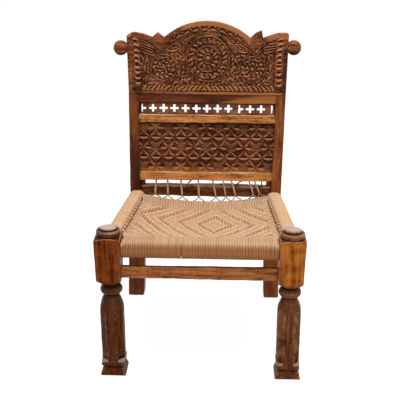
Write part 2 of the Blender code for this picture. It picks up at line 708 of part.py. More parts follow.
def crest_outline():
    low = STILE_X + STILE_WIDTH / 2 - CREST_FOOT_INSET
    high = low + CREST_FLARE

    def edge(z):
        return low + (high - low) * z / CREST_CORNER_HEIGHT

    ear_radius = EAR_DIAMETER / 2
    ear_x = edge(EAR_PLACE_HEIGHT) + EAR_PROJECTION - ear_radius
    neck_low = EAR_PLACE_HEIGHT - EAR_NECK_HEIGHT / 2
    neck_high = EAR_PLACE_HEIGHT + EAR_NECK_HEIGHT / 2

    def flank(*peak):
        # From the foot of the right-hand edge up to the peak beside the arch.
        points = [Vector((low, 0.0)), Vector((edge(neck_low), neck_low))]
        for step in range(EAR_STEPS + 1):
            a = math.pi * (step / EAR_STEPS - 0.5)
            spoke = Vector((math.cos(a), math.sin(a))) * ear_radius
            points.append(Vector((ear_x, EAR_PLACE_HEIGHT)) + spoke)
        points.append(Vector((edge(neck_high), neck_high)))
        corner = Vector((high, CREST_CORNER_HEIGHT))
        shoulder = Vector((CREST_SHOULDER_PLACE, CREST_SHOULDER_HEIGHT))
        notch = Vector((PEAK_NOTCH_PLACE, ARCH_SPRING_HEIGHT))
        points.append(corner)
        points += arc(corner, shoulder, CREST_CORNER_BULGE, EAR_STEPS // 2)
        points += arc(shoulder, notch, CREST_SHOULDER_BULGE, EAR_STEPS // 2)
        points += [Vector(point) for point in peak]
        return points

    def arch():
        spring = Vector((ARCH_HALF_WIDTH, ARCH_SPRING_HEIGHT))
        far = Vector((-ARCH_HALF_WIDTH, ARCH_SPRING_HEIGHT))
        return [spring] + arc(spring, far, CREST_HEIGHT - ARCH_SPRING_HEIGHT, ARCH_STEPS)

    right = flank((RIGHT_PEAK_PLACE, RIGHT_PEAK_HEIGHT), (RIGHT_SHELF_PLACE, RIGHT_SHELF_HEIGHT))
    left = flank((LEFT_PEAK_PLACE, LEFT_PEAK_HEIGHT))
    mirrored = [Vector((-p.x, p.y)) for p in reversed(left)]
    return [(p.x, p.y + CREST_BOTTOM) for p in right + arch() + mirrored]


def roundel(label, x, rise, outer, inner, field, crest):
    # A disc left standing in the sunk field, hollowed round a boss.
    front = -CREST_PROUD
    z = CREST_BOTTOM + rise
    deep = (front - 2 * CUT_OVERRUN, front + 2 * FIELD_SINK)
    shallow = (front - CUT_OVERRUN, front + FIELD_SINK / 2)
    cut(disc(label + "_roundel", x, z, outer, *deep, back_frame), field)
    hollow = disc(label + "_roundel_hollow", x, z, inner, *shallow, back_frame)
    cut(disc(label + "_roundel_boss", x, z, ROUNDEL_BOSS, *deep, back_frame), hollow)
    cut(hollow, crest)


def roundel_channel(label, x, rise, outer, inner, crest):
    # A ring sunk between two raised rims.
    front = -CREST_PROUD
    z = CREST_BOTTOM + rise
    deep = (front - 2 * CUT_OVERRUN, front + 2 * FIELD_SINK)
    shallow = (front - CUT_OVERRUN, front + FIELD_SINK / 2)
    channel = disc(label + "_channel", x, z, outer - 2 * ROUNDEL_RIM, *shallow, back_frame)
    cut(disc(label + "_channel_core", x, z, inner + 2 * ROUNDEL_RIM, *deep, back_frame), channel)
    cut(channel, crest)


def crest_field(crest):
    # The ground of the carving is sunk, and the three roundels stand up in it.
    front = -CREST_PROUD
    arch_end = (-FIELD_ARCH_HALF_WIDTH, FIELD_SHOULDER)
    outline = [(-FIELD_HALF_WIDTH, FIELD_BOTTOM), (FIELD_HALF_WIDTH, FIELD_BOTTOM),
               (FIELD_HALF_WIDTH, FIELD_SHOULDER), (FIELD_ARCH_HALF_WIDTH, FIELD_SHOULDER)]
    field_rise = FIELD_ARCH_TOP - FIELD_SHOULDER
    outline += [tuple(p) for p in arc(outline[-1], arch_end, field_rise, ARCH_STEPS)]
    outline.append((-FIELD_HALF_WIDTH, FIELD_SHOULDER))
    outline = [(x, z + CREST_BOTTOM) for x, z in outline]
    field = prism("crest_ground", outline, front - CUT_OVERRUN, front + FIELD_SINK, None, back_frame)
    small = (SMALL_ROUNDEL_HEIGHT, SMALL_ROUNDEL_DIAMETER, SMALL_ROUNDEL_INNER)
    large = (LARGE_ROUNDEL_HEIGHT, LARGE_ROUNDEL_DIAMETER, LARGE_ROUNDEL_INNER)
    for side, s in SIDES.items():
        roundel(side, s * SMALL_ROUNDEL_PLACE, *small, field, crest)
    roundel("middle", 0.0, *large, field, crest)
    roundel_channel("middle", 0.0, *large, crest)
    cut(field, crest)


def crest_board(posts):
    crest = prism("crest_board", crest_outline(), -CREST_PROUD, CREST_BACK, CARVED_WOOD, back_frame)
    ease = crest.modifiers.new("ease", "BEVEL")
    ease.width = CREST_EASE
    ease.segments = 1
    ease.limit_method = "ANGLE"
    ease.angle_limit = math.radians(60)
    for side, s in SIDES.items():
        tenon = rectangle(STILE_TENON_WIDTH / 2 + FIT_GAP, TONGUE / 2 + FIT_GAP, STILE_EASE)
        heights = (CREST_BOTTOM - CUT_OVERRUN, CREST_BOTTOM + STILE_TENON_HEIGHT + FIT_GAP)
        rings = [[Vector((s * STILE_X + p.x, GROOVE_MIDDLE + p.y, z)) for p in tenon] for z in heights]
        cut(loft("crest_mortise_" + side, rings, None, back_frame), crest)
        start = Vector((s * STILE_X, CREST_BACK - PEG_SINK, CREST_BOTTOM + STILE_TENON_HEIGHT / 2))
        length = CREST_BACK - GROOVE_SETBACK + PEG_DIAMETER / 2
        _, hole = peg("peg_crest_" + side, Vector((0, -1, 0)), start, length, back_frame)
        cut(hole, crest, posts[side])
    crest_field(crest)
    return crest


# Rope: ribbed windings on three rails, a sagging woven mat, its rear edge cord and the lacing

def winding(name, axis, start, end):
    k = AXES[axis]
    length = end[k] - start[k]
    ribs = max(1, round(length / ROPE_RIB_PITCH))
    half = ROPE_SECTION / 2
    rings = []
    for step in range(2 * ribs + 1):
        dip = ROPE_RIB_DEPTH if step % 2 == 0 else 0.0
        at = start[k] + length * step / (2 * ribs)
        rings.append(bar_ring(axis, at, start, end, half.x - dip, half.y - dip, ROPE_CORNER, 0.0))
    sleeve = loft(name, rings, ROPE)
    size = (RAIL_WIDTH / 2 + FIT_GAP, RAIL_HEIGHT / 2 + FIT_GAP, BAR_EASE)
    spans = (start[k] - CUT_OVERRUN, end[k] + CUT_OVERRUN)
    bore = loft(name + "_bore", [bar_ring(axis, at, start, end, *size, 0.0) for at in spans], None)
    cut(bore, sleeve)
    return sleeve


def windings():
    reach = BLOCK_INNER - FIT_GAP
    winding("front_rail_wrap", "x", *[Vector((s * reach, FRONT_RAIL_Y, FRONT_RAIL_Z)) for s in (-1, 1)])
    low, high = LEG_BLOCK + FIT_GAP, SEAT_DEPTH - FIT_GAP
    for side, s in SIDES.items():
        ends = [Vector((s * side_rail_x(y), y, SIDE_RAIL_Z)) for y in (low, high)]
        winding(side + "_rail_wrap", "y", *ends)


def mat_half_width(y):
    if y <= LEG_BLOCK + 2 * FIT_GAP:
        return BLOCK_INNER - FIT_GAP
    return side_rail_x(y) - ROPE_SECTION.x / 2 - FIT_GAP


def mat_top(u, y):
    # Height of the mat where u runs from -1 at the left rail to 1 at the right rail.
    run = y - (FRONT_RAIL_Y + ROPE_SECTION.x / 2)
    fall = math.sin(min(1.0, run / MAT_FALL_LENGTH) * math.pi / 2)
    border = SEAT_FRONT_HEIGHT + (SEAT_SIDE_HEIGHT - SEAT_FRONT_HEIGHT) * fall - MAT_DROP
    hollow = math.sin(min(1.0, run / MAT_SAG_LENGTH) * math.pi / 2)
    return border - MAT_SAG * (1 - u * u) * hollow


def woven_seat():
    front = FRONT_RAIL_Y + ROPE_SECTION.x / 2 + FIT_GAP
    corner = LEG_BLOCK + FIT_GAP
    start = corner + MAT_CORNER_STEP
    rows = [front, corner]
    rows += [start + (MAT_REAR_EDGE - start) * i / MAT_ROWS for i in range(MAT_ROWS + 1)]
    bm = bmesh.new()
    layers = []
    for drop in (MAT_THICKNESS, 0.0):
        grid = []
        for y in rows:
            half = mat_half_width(y)
            us = [2 * i / MAT_COLUMNS - 1 for i in range(MAT_COLUMNS + 1)]
            grid.append([bm.verts.new((u * half, y, mat_top(u, y) - drop)) for u in us])
        layers.append(grid)
    for grid in layers:
        for near, far in zip(grid, grid[1:]):
            for i in range(MAT_COLUMNS):
                bm.faces.new((near[i], near[i + 1], far[i + 1], far[i]))
    low, high = layers
    rims = [(low[0], high[0]), (low[-1], high[-1])]
    for i in (0, -1):
        rims.append(([row[i] for row in low], [row[i] for row in high]))
    for under, over in rims:
        for i in range(len(under) - 1):
            bm.faces.new((under[i], under[i + 1], over[i + 1], over[i]))
    mat = place("woven_seat", bm, ROPE)
    round_off(mat)
    return mat


def tube(name, points, diameter, resolution):
    curve = bpy.data.curves.new(name, "CURVE")
    curve.dimensions = "3D"
    curve.bevel_depth = diameter / 2
    curve.bevel_resolution = resolution
    curve.use_fill_caps = True
    spline = curve.splines.new("POLY")
    spline.points.add(len(points) - 1)
    for slot, point in zip(spline.points, points):
        slot.co = (*point, 1)
    cord = bpy.data.objects.new(name, curve)
    bpy.context.scene.collection.objects.link(cord)
    cord.parent = chair
    curve.materials.append(ROPE)
    return cord


LACE_TURN = math.pi / 4
LACE_RING = ((EDGE_CORD_DIAMETER + LACE_DIAMETER) / 2 + FIT_GAP) / math.cos(LACE_TURN / 2)
EDGE_CORD_Y = MAT_REAR_EDGE + FIT_GAP + LACE_DIAMETER / 2 + LACE_RING


def edge_cord_centre(x):
    u = x / mat_half_width(EDGE_CORD_Y)
    return Vector((x, EDGE_CORD_Y, mat_top(u, MAT_REAR_EDGE) - MAT_THICKNESS / 2))


def edge_cord():
    half = mat_half_width(EDGE_CORD_Y)
    taper = (mat_half_width(MAT_REAR_EDGE) - half) / (EDGE_CORD_Y - MAT_REAR_EDGE)
    reach = half - (math.sin(math.atan(2 * MAT_SAG / half)) + taper) * EDGE_CORD_DIAMETER / 2
    shares = [2 * i / EDGE_CORD_STEPS - 1 for i in range(EDGE_CORD_STEPS + 1)]
    points = [edge_cord_centre(reach * share) for share in shares]
    return tube("seat_edge_cord", points, EDGE_CORD_DIAMETER, 2)


def lace_legs():
    # The legs of one strand shorten where its neighbour is close.
    gaps = [b - a for a, b in zip(LACE_PLACES, LACE_PLACES[1:])]
    left = [LACE_LEFT_LEG] + [min(LACE_LEFT_LEG, gap * LACE_LEFT_SHARE) for gap in gaps]
    right = [min(LACE_RIGHT_LEG, gap * LACE_RIGHT_SHARE) for gap in gaps] + [LACE_RIGHT_LEG]
    return zip(LACE_PLACES, left, right)


def round_edge_cord(x, turn):
    # A place on the lace's way round the edge cord, counted in eighths of a turn from the rear.
    a = turn * LACE_TURN
    return edge_cord_centre(x) + Vector((0, math.cos(a), math.sin(a))) * LACE_RING


def lace_bore(x):
    # Where a lace hole opens under the lower back rail, where it leaves behind, and its direction.
    entry = Vector((x, LACE_ENTRY_SETBACK, LOWER_RAIL_RISE))
    leave = Vector((x, BACK_RAIL_SETBACK + BACK_RAIL_DEPTH, LOWER_RAIL_RISE + LACE_EXIT_RISE))
    return entry, leave, (leave - entry).normalized()


def lace_route():
    radius = LACE_DIAMETER / 2
    hang = radius + 2 * FIT_GAP
    points = []
    for x, left, right in lace_legs():
        entry, leave, bore = lace_bore(x)
        loop = [Vector((x, leave.y + hang, LOWER_RAIL_RISE - hang)),
                Vector((x, leave.y + 2 * hang, LOWER_RAIL_RISE + LACE_EXIT_RISE * LACE_LOOP_WAIST)),
                leave + bore * LACE_LOOP_REACH * radius + Vector((0, radius, -radius)),
                leave + bore * LACE_LOOP_RETURN * radius + Vector((0, 0, radius)),
                leave, entry - bore * radius]
        loop = [BACK_PLACE @ point for point in loop]
        foot = edge_cord_centre(x + right)
        fork = loop[-1].lerp(foot, LACE_FORK)
        fork.x = x
        strand = (loop[-1] - fork).normalized()
        behind = fork + strand.cross(Vector((1, 0, 0))) * LACE_DIAMETER * LACE_PARTING
        points += [round_edge_cord(x - left, turn) for turn in LACE_TAIL_TURNS]
        points += [behind] + loop + [fork]
        for turn in range(LACE_ROUND_TURNS):
            points.append(round_edge_cord(x + right + turn * radius, 1 + turn))
    return points


def segment_gap(a, b, c, d):
    # Least distance between two straight runs, tried at even steps along both.
    tries = 8
    steps = [i / tries for i in range(tries + 1)]
    return min((a.lerp(b, s) - c.lerp(d, t)).length for s in steps for t in steps)


def lacing():
    points = lace_route()
    cord = tube("lacing_cord", points, LACE_DIAMETER, 1)
    runs = list(zip(points, points[1:]))
    # Runs within one bend touch by nature, so the search starts past a bend and ends two strands on.
    bend = 4
    two_strands = 2 * len(points) // len(LACE_PLACES)
    pairs = [(a, b) for i, a in enumerate(runs) for b in runs[i + bend:i + bend + two_strands]]
    least = min(segment_gap(*a, *b) for a, b in pairs)
    print("lacing cord: least gap to itself %.2f mm" % ((least - LACE_DIAMETER) * 1000))
    return cord


def lace_holes(rail):
    overrun = LACE_HOLE_DIAMETER * 2
    turns = [2 * math.pi * i / LACE_HOLE_SIDES for i in range(LACE_HOLE_SIDES)]
    bm = bmesh.new()
    for x in LACE_PLACES:
        entry, leave, bore = lace_bore(x)
        normal = bore.cross(Vector((1, 0, 0)))
        spokes = [Vector((math.cos(a), 0, 0)) + normal * math.sin(a) for a in turns]
        rings = []
        for point in (entry - bore * overrun, leave + bore * overrun):
            rings.append([point + spoke * LACE_HOLE_DIAMETER / 2 for spoke in spokes])
        add_loft(bm, rings)
    cut(place("lace_holes", bm, None, back_frame), rail)


def main():
    legs = {side: front_leg(side) for side in SIDES}
    posts = {side: rear_post(side) for side in SIDES}
    wear_corner(legs["right"])
    rails = seat_frame(legs, posts)
    stretchers(legs, posts)
    seat_pegs(legs, posts, rails)
    lower = back_rail("lower_back_rail", LOWER_RAIL_RISE, LOWER_RAIL_HEIGHT, False, True, posts)
    back_rail("middle_back_rail", MIDDLE_RAIL_BOTTOM, MIDDLE_RAIL_HEIGHT, True, True, posts)
    height = UPPER_RAIL_HEIGHT - FIT_GAP
    back_rail("upper_back_rail", UPPER_RAIL_BOTTOM, height, True, False, posts)
    stile_grooves(posts)
    carved_panel()
    pierced_strip()
    crest_board(posts)
    windings()
    woven_seat()
    edge_cord()
    lace_holes(lower)
    lacing()


main()
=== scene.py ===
import math
import bpy
import numpy as np
from mathutils import Matrix, Vector


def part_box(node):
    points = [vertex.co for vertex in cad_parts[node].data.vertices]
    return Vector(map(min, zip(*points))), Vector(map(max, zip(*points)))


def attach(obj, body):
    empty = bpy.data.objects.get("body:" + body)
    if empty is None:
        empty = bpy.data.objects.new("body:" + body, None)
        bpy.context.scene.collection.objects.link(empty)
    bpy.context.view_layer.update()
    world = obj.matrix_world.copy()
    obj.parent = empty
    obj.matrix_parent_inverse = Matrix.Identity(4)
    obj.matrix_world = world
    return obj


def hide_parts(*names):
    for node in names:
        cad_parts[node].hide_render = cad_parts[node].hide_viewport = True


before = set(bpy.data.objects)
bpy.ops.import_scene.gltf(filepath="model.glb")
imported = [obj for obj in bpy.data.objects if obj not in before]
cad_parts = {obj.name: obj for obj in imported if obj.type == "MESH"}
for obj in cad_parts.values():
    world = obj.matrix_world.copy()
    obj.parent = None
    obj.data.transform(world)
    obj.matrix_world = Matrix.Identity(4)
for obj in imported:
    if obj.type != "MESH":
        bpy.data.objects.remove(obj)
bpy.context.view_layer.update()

# Places shared by the pieces: chair y runs back from the front faces of the leg blocks, and the back's own
# frame runs from the bend of the rear posts, with d into the chair's back and h up the leaning stiles.

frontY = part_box("front_leg_left")[0].y
backSet = {"seatDepth": 0.521, "bend": 0.400, "lean": math.radians(3.5)}
backPlace = (Matrix.Translation((0, frontY + backSet["seatDepth"], backSet["bend"]))
             @ Matrix.Rotation(-backSet["lean"], 4, "X"))
sides = (-1, 1)


# Shader values with operators, and materials made of them

class Wire:
    def __init__(self, finish, socket):
        self.finish = finish
        self.socket = socket

    def calc(self, operation, other=0.0, swapped=False):
        pair = (other, self) if swapped else (self, other)
        return self.finish.node("Math", {"operation": operation}, {0: pair[0], 1: pair[1]})

    def __add__(self, other):
        return self.calc("ADD", other)

    def __sub__(self, other):
        return self.calc("SUBTRACT", other)

    def __rsub__(self, other):
        return self.calc("SUBTRACT", other, True)

    def __mul__(self, other):
        return self.calc("MULTIPLY", other)

    def __truediv__(self, other):
        return self.calc("DIVIDE", other)

    def __rtruediv__(self, other):
        return self.calc("DIVIDE", other, True)

    def __pow__(self, other):
        return self.calc("POWER", other)

    __radd__ = __add__
    __rmul__ = __mul__

    def between(self, low, high):
        return self.finish.node("MapRange", {"interpolation_type": "SMOOTHSTEP"},
                                {"Value": self, "From Min": low, "From Max": high})


class Finish:
    def __init__(self, name):
        self.material = bpy.data.materials.new(name)
        self.material.use_nodes = True
        self.tree = self.material.node_tree
        self.tree.nodes.clear()
        self.shader = self.tree.nodes.new("ShaderNodeBsdfPrincipled")
        self.output = self.tree.nodes.new("ShaderNodeOutputMaterial")
        self.tree.links.new(self.shader.outputs[0], self.output.inputs["Surface"])

    def put(self, socket, value):
        if isinstance(value, Wire):
            self.tree.links.new(value.socket, socket)
        else:
            socket.default_value = value

    def node(self, kind, settings=None, inputs=None, output=0):
        made = self.tree.nodes.new("ShaderNode" + kind)
        for key, value in (settings or {}).items():
            if key == "stops":
                marks = made.color_ramp.elements
                marks.remove(marks[1])
                marks[0].position = value[0][0]
                marks[0].color = (*value[0][1], 1)
                for place, colour in value[1:]:
                    marks.new(place).color = (*colour, 1)
            else:
                setattr(made, key, value)
        for key, value in (inputs or {}).items():
            self.put(made.inputs[key], value)
        return Wire(self, made.outputs[output])

    def blend(self, first, second, amount, how="MIX"):
        settings = {"data_type": "RGBA", "blend_type": how}
        first = first if isinstance(first, Wire) else (*first, 1)
        second = second if isinstance(second, Wire) else (*second, 1)
        return self.node("Mix", settings, {0: amount, 6: first, 7: second}, 2)

    def noise(self, where, scale, detail=4.0, rough=0.55):
        values = {"Vector": where, "Scale": scale, "Detail": detail, "Roughness": rough}
        return self.node("TexNoise", None, values)

    def attribute(self, name):
        return self.node("Attribute", {"attribute_name": name}, None, "Fac")

    def surface(self, colour, roughness, height, depth):
        self.put(self.shader.inputs["Base Color"], colour)
        self.put(self.shader.inputs["Roughness"], roughness)
        bump = self.node("Bump", None, {"Strength": 1.0, "Distance": depth, "Height": height})
        self.put(self.shader.inputs["Normal"], bump)
        return self.material


def woodFinish(name, look, rubbedAndLit=None):
    # Long grain in one direction, with wear and painted highlights, grime and painted shade, and pale and
    # golden places where the piece's marks put them; some pale places are painted highlights and some golden
    # ones painted light.
    wood = Finish(name)
    here = wood.node("TexCoord", None, None, "Object")
    drawn = wood.node("Mapping", None, {"Vector": here, "Scale": look["grain"]})
    figure = wood.node("TexNoise", None, {"Vector": drawn, "Scale": 1.0, "Detail": 3.0, "Distortion": 0.6})
    rings = ((figure * look["rings"]).calc("SINE") + 1) * 0.5
    fibre = wood.noise(drawn, 7.0, 4.0, 0.65)
    pores = wood.noise(drawn, 16.0, 2.0, 0.5).between(0.60, 0.72)
    patches = wood.noise(here, look["patch"], 4.0, 0.6)
    specks = wood.noise(here, 420.0, 2.0, 0.6)
    stains = wood.noise(here, 135.0, 3.0, 0.6)
    streaks = wood.noise(drawn, 2.2, 3.0, 0.6)
    lines = (rings - 0.5) * 0.30 + (fibre - 0.5) * 0.5 + (streaks - 0.5) * look.get("streaks", 1.3)
    if "turned" in look:
        # Turned lengths are smooth: the long grain hardly shows on them.
        plain = 1 - wood.attribute("turned") * look["turned"]
        lines, pores = lines * plain, pores * plain
    shade = lines + (patches - 0.5) + (stains - 0.5) * look.get("stains", 1.3) + 0.5
    tones = [(0.1, look["dark"]), (0.5, look["mid"]), (0.9, look["light"])]
    colour = wood.node("ValToRGB", {"stops": tones}, {"Fac": shade})
    colour = wood.blend(colour, look["dark"], pores * 0.45)
    worn = wood.attribute("worn")
    wornAndLitMask = (worn + (patches - 0.5) * 0.9 + (fibre - 0.5) * 0.5).between(0.35, 0.85)
    colour = wood.blend(colour, look["worn"], wornAndLitMask * look["wearAndLightLevel"])
    deep = wood.attribute("deep")
    grimeAndShadeMask = (deep + (specks - 0.5) * 0.4).between(0.15, 0.95)
    colour = wood.blend(colour, look["deep"], grimeAndShadeMask * look["grimeAndShadeLevel"])
    dust = (specks * 0.7 + patches * 0.6).between(0.72, 0.90)
    colour = wood.blend(colour, look["worn"], dust * look["dust"])
    pale = wood.attribute("pale")
    paleMask = (pale + (specks - 0.5) * 0.5 + (patches - 0.5) * 0.6).between(0.25, 0.8)
    colour = wood.blend(colour, look.get("pale", look["worn"]), paleMask * 0.9)
    if "gold" in look:
        goldMask = (wood.attribute("gold") + (patches - 0.5) * 0.9 + (streaks - 0.5) * 1.2).between(0.1, 0.9)
        colour = wood.blend(colour, look["gold"], goldMask * (1 - grimeAndShadeMask) * 0.9)
    if rubbedAndLit:
        colour = rubbedAndLit(wood, here, colour)
    rough = look["rough"] + (patches - 0.5) * 0.35 + pores * 0.1
    if "turned" in look:
        wood.put(wood.shader.inputs["Coat Weight"], wood.attribute("turned") * look["polish"])
        wood.put(wood.shader.inputs["Coat Roughness"], 0.28)
    wood.put(wood.shader.inputs["Specular IOR Level"], look["gloss"])
    height = fibre * 0.5 + rings * 0.15 - pores * 0.5 + patches * 0.6
    return wood.surface(colour, rough, height, 0.0007)


def ropeFinish(name, look):
    # Two plies laid up along the strand's own UV, with painted shade where a strand dives under others, on the
    # flanks that turn away and in the grooves between the plies.
    rope = Finish(name)
    here = rope.node("TexCoord", None, None, "Object")
    sheet = rope.node("TexCoord", None, None, "UV")
    along = rope.node("SeparateXYZ", None, {"Vector": sheet}, "X")
    turn = rope.node("SeparateXYZ", None, {"Vector": sheet}, "Y")
    ply = ((along / look["lay"] + turn) * 2.0).calc("FRACT")
    swell = (ply * math.pi).calc("SINE") ** 0.7
    fibre = rope.noise(here, 1500.0, 2.0, 0.6)
    fuzz = rope.noise(here, 520.0, 3.0, 0.7)
    patches = rope.noise(here, 22.0, 4.0, 0.6)
    tone = rope.attribute("tone")
    shade = swell * 0.46 + fibre * 0.22 + fuzz * 0.34 + (patches - 0.5) * 0.35 + tone * 0.085
    tones = [(0.08, look["dark"]), (0.45, look["mid"]), (0.85, look["light"])]
    colour = rope.node("ValToRGB", {"stops": tones}, {"Fac": shade})
    stain, dive = rope.attribute("stain"), rope.attribute("dive")
    # The front roll's front and underside darker: a stain, with painted shade at the bottom.
    colour = rope.blend(colour, look["stain"], stain, "MULTIPLY")
    # Painted shade: the groove colour darkens the ply grooves, more on the stained front roll, the flanks that
    # turn away from the top and the strands that dive under others.
    face = (turn * (2 * math.pi)).calc("SINE").between(0.05, 0.92)
    paintedShade = (1 - swell) * (stain * 0.40 + 0.34) + (1 - face) * 0.74 + dive * 0.95
    colour = rope.blend(colour, look["groove"], paintedShade.calc("MINIMUM", 1.0), "MULTIPLY")
    colour = rope.blend(colour, look["groove"], dive.between(0.8, 1.6), "MULTIPLY")
    for key, value in (("Specular IOR Level", 0.15), ("Sheen Weight", 0.15), ("Sheen Roughness", 0.6)):
        rope.put(rope.shader.inputs[key], value)
    rough = 0.82 + fuzz * 0.15
    height = swell * 0.6 + fibre * 0.25 + fuzz * 0.45
    return rope.surface(colour, rough, height, 0.0009)


# Mesh helpers

def fade(low, high, x):
    t = np.clip((x - low) / (high - low), 0, 1)
    return t * t * (3 - 2 * t)


def band(x, start, full, ease, stop):
    return fade(start, full, x) * fade(stop, ease, x)


def wobble(points, size, seed):
    dice = np.random.default_rng(seed)
    total = 0
    for step in range(7):
        way = dice.normal(size=3)
        way *= 2 * math.pi / (size * dice.uniform(0.6, 1.5) * np.linalg.norm(way))
        total = total + np.sin(points @ way + dice.uniform(0, 6.3))
    return total / 3.5


def placed(points, matrix):
    turn = np.array(matrix)
    return points @ turn[:3, :3].T + turn[:3, 3]


def newGrid(name, across, up):
    bpy.ops.object.select_all(action="DESELECT")
    bpy.ops.mesh.primitive_grid_add(x_subdivisions=across, y_subdivisions=up, size=1)
    piece = bpy.context.object
    piece.name = name
    piece.data.name = name
    flat = getPoints(piece) + 0.5
    return piece, flat[:, 0], flat[:, 1]


def getPoints(piece):
    flat = np.empty(3 * len(piece.data.vertices))
    piece.data.vertices.foreach_get("co", flat)
    return flat.reshape(-1, 3)


def inRows(u, v):
    # The order that sorts a grid's points into rows, and the number of columns.
    u, v = np.round(u, 6), np.round(v, 6)
    return np.lexsort((u, v)), len(np.unique(u))


def setPoints(piece, points, **marks):
    piece.data.vertices.foreach_set("co", points.astype(np.float32).ravel())
    for key, value in marks.items():
        layer = piece.data.attributes.new(key, "FLOAT", "POINT")
        layer.data.foreach_set("value", np.broadcast_to(value, len(points)).astype(np.float32))
    piece.data.update()


def pick(piece, *others):
    bpy.ops.object.select_all(action="DESELECT")
    for part in (piece, *others):
        part.select_set(True)
    bpy.context.view_layer.objects.active = piece


def editMode(piece):
    pick(piece)
    bpy.ops.object.mode_set(mode="EDIT")
    bpy.ops.mesh.select_all(action="SELECT")


def closeUp(piece, angle=40):
    editMode(piece)
    bpy.ops.mesh.remove_doubles(threshold=1e-6)
    bpy.ops.mesh.fill_holes(sides=0)
    bpy.ops.mesh.select_all(action="SELECT")
    bpy.ops.mesh.normals_make_consistent(inside=False)
    bpy.ops.object.mode_set(mode="OBJECT")
    bpy.ops.object.shade_smooth_by_angle(angle=math.radians(angle))


def thicken(piece, backDepth, inset=0.0):
    # A front surface gets sides back to one depth and a flat rear face.
    editMode(piece)
    bpy.ops.mesh.select_all(action="DESELECT")
    bpy.ops.mesh.select_non_manifold(extend=False)
    bpy.ops.mesh.extrude_region_move(TRANSFORM_OT_translate={"value": (0, 0.01, 0)})
    bpy.ops.object.mode_set(mode="OBJECT")
    chosen = np.zeros(len(piece.data.vertices), bool)
    piece.data.vertices.foreach_get("select", chosen)
    points = getPoints(piece)
    points[chosen, 1] = backDepth - inset
    setPoints(piece, points)
    bpy.ops.object.mode_set(mode="EDIT")
    bpy.ops.mesh.edge_face_add()
    if inset:
        bpy.ops.mesh.inset(thickness=inset * 0.7, depth=inset)
    bpy.ops.mesh.select_all(action="SELECT")
    bpy.ops.mesh.normals_make_consistent(inside=False)
    bpy.ops.object.mode_set(mode="OBJECT")


def finishPiece(piece, material, slot, *nodes):
    piece.data.materials.clear()
    piece.data.materials.append(material)
    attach(piece, "root")
    if nodes:
        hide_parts(*nodes)
    return piece


def ring(u, halfA, halfB, ease):
    # A rounded rectangle run through once as u goes from 0 to 1; the third value is 1 on the corners.
    count = np.floor(u * 4 + 1e-7)
    part = u * 4 - count
    quarter = count % 4
    turn = np.clip(part / 0.5, 0, 1)
    phi = (quarter + turn) * math.pi / 2
    signA = np.where((quarter == 0) | (quarter == 3), 1, -1)
    signB = np.where(quarter < 2, 1, -1)
    run = 2 * np.clip((part - 0.5) / 0.5, 0, 1)
    a = signA * (halfA - ease) + ease * np.cos(phi)
    b = signB * (halfB - ease) + ease * np.sin(phi)
    a = a + run * (halfA - ease) * np.where(quarter == 0, -1, np.where(quarter == 2, 1, 0))
    b = b + run * (halfB - ease) * np.where(quarter == 1, -1, np.where(quarter == 3, 1, 0))
    return a, b, np.where(part < 0.5, np.sin(math.pi * turn), 0)


plainBar = {"upward": (0, 0, 1), "around": 32, "along": 72, "rough": 0.0005, "paleTop": 0.0, "groove": 0.0,
            "goldFrom": None}


def hewnBar(name, ends, look):
    # A bar between two places with softened edges, slightly uneven as if cut by hand.
    look = dict(plainBar, **look)
    width, height, ease, seed, rough = [look[key] for key in ("width", "height", "ease", "seed", "rough")]
    piece, u, v = newGrid(name, look["around"], look["along"])
    start, end, upward = [np.array(p, float) for p in (*ends, look["upward"])]
    length = np.linalg.norm(end - start)
    axis = (end - start) / length
    across = np.cross(axis, upward)
    across /= np.linalg.norm(across)
    upward = np.cross(across, axis)
    near = np.minimum(v, 1 - v) * length
    tuck = ease * 0.6 * np.exp(-near / 0.0004)
    edge = ease * (1 + 0.5 * np.sin(v * 23 + seed) * np.sin(v * 9 + u * 6.28))
    a, b, corner = ring(u, width / 2 - tuck, height / 2 - tuck, edge)
    points = start + np.outer(v * length, axis) + np.outer(a, across) + np.outer(b, upward)
    bulge = wobble(points, 0.05, seed) * rough + wobble(points, 0.3, seed + 1) * rough * 1.4
    radial = np.outer(a, across) / (width / 2) + np.outer(b, upward) / (height / 2)
    points = points + radial * bulge[:, None]
    share = b / (height / 2)
    worn = corner * (0.62 + 0.5 * wobble(points, 0.03, seed + 2))
    pale = look["paleTop"] * fade(0.75, 0.98, share) * (0.8 + 0.5 * wobble(points, 0.04, seed + 3))
    groove = np.exp(-((share - 0.70) / 0.10) ** 2) * (0.7 + 0.6 * wobble(points, 0.05, seed + 4))
    groove = groove + 0.7 * fade(0.035, 0.0, near) * (0.8 + 0.6 * wobble(points, 0.02, seed + 6))
    gold = 0.0
    if look["goldFrom"] is not None:
        gold = 0.85 * fade(-0.5, 0.55, (points[:, 0] - look["goldFrom"]) / 0.15 - (share + 1) * 0.5)
    setPoints(piece, points, worn=worn, deep=groove * look["groove"], pale=pale, gold=gold)
    closeUp(piece, 50)
    return piece


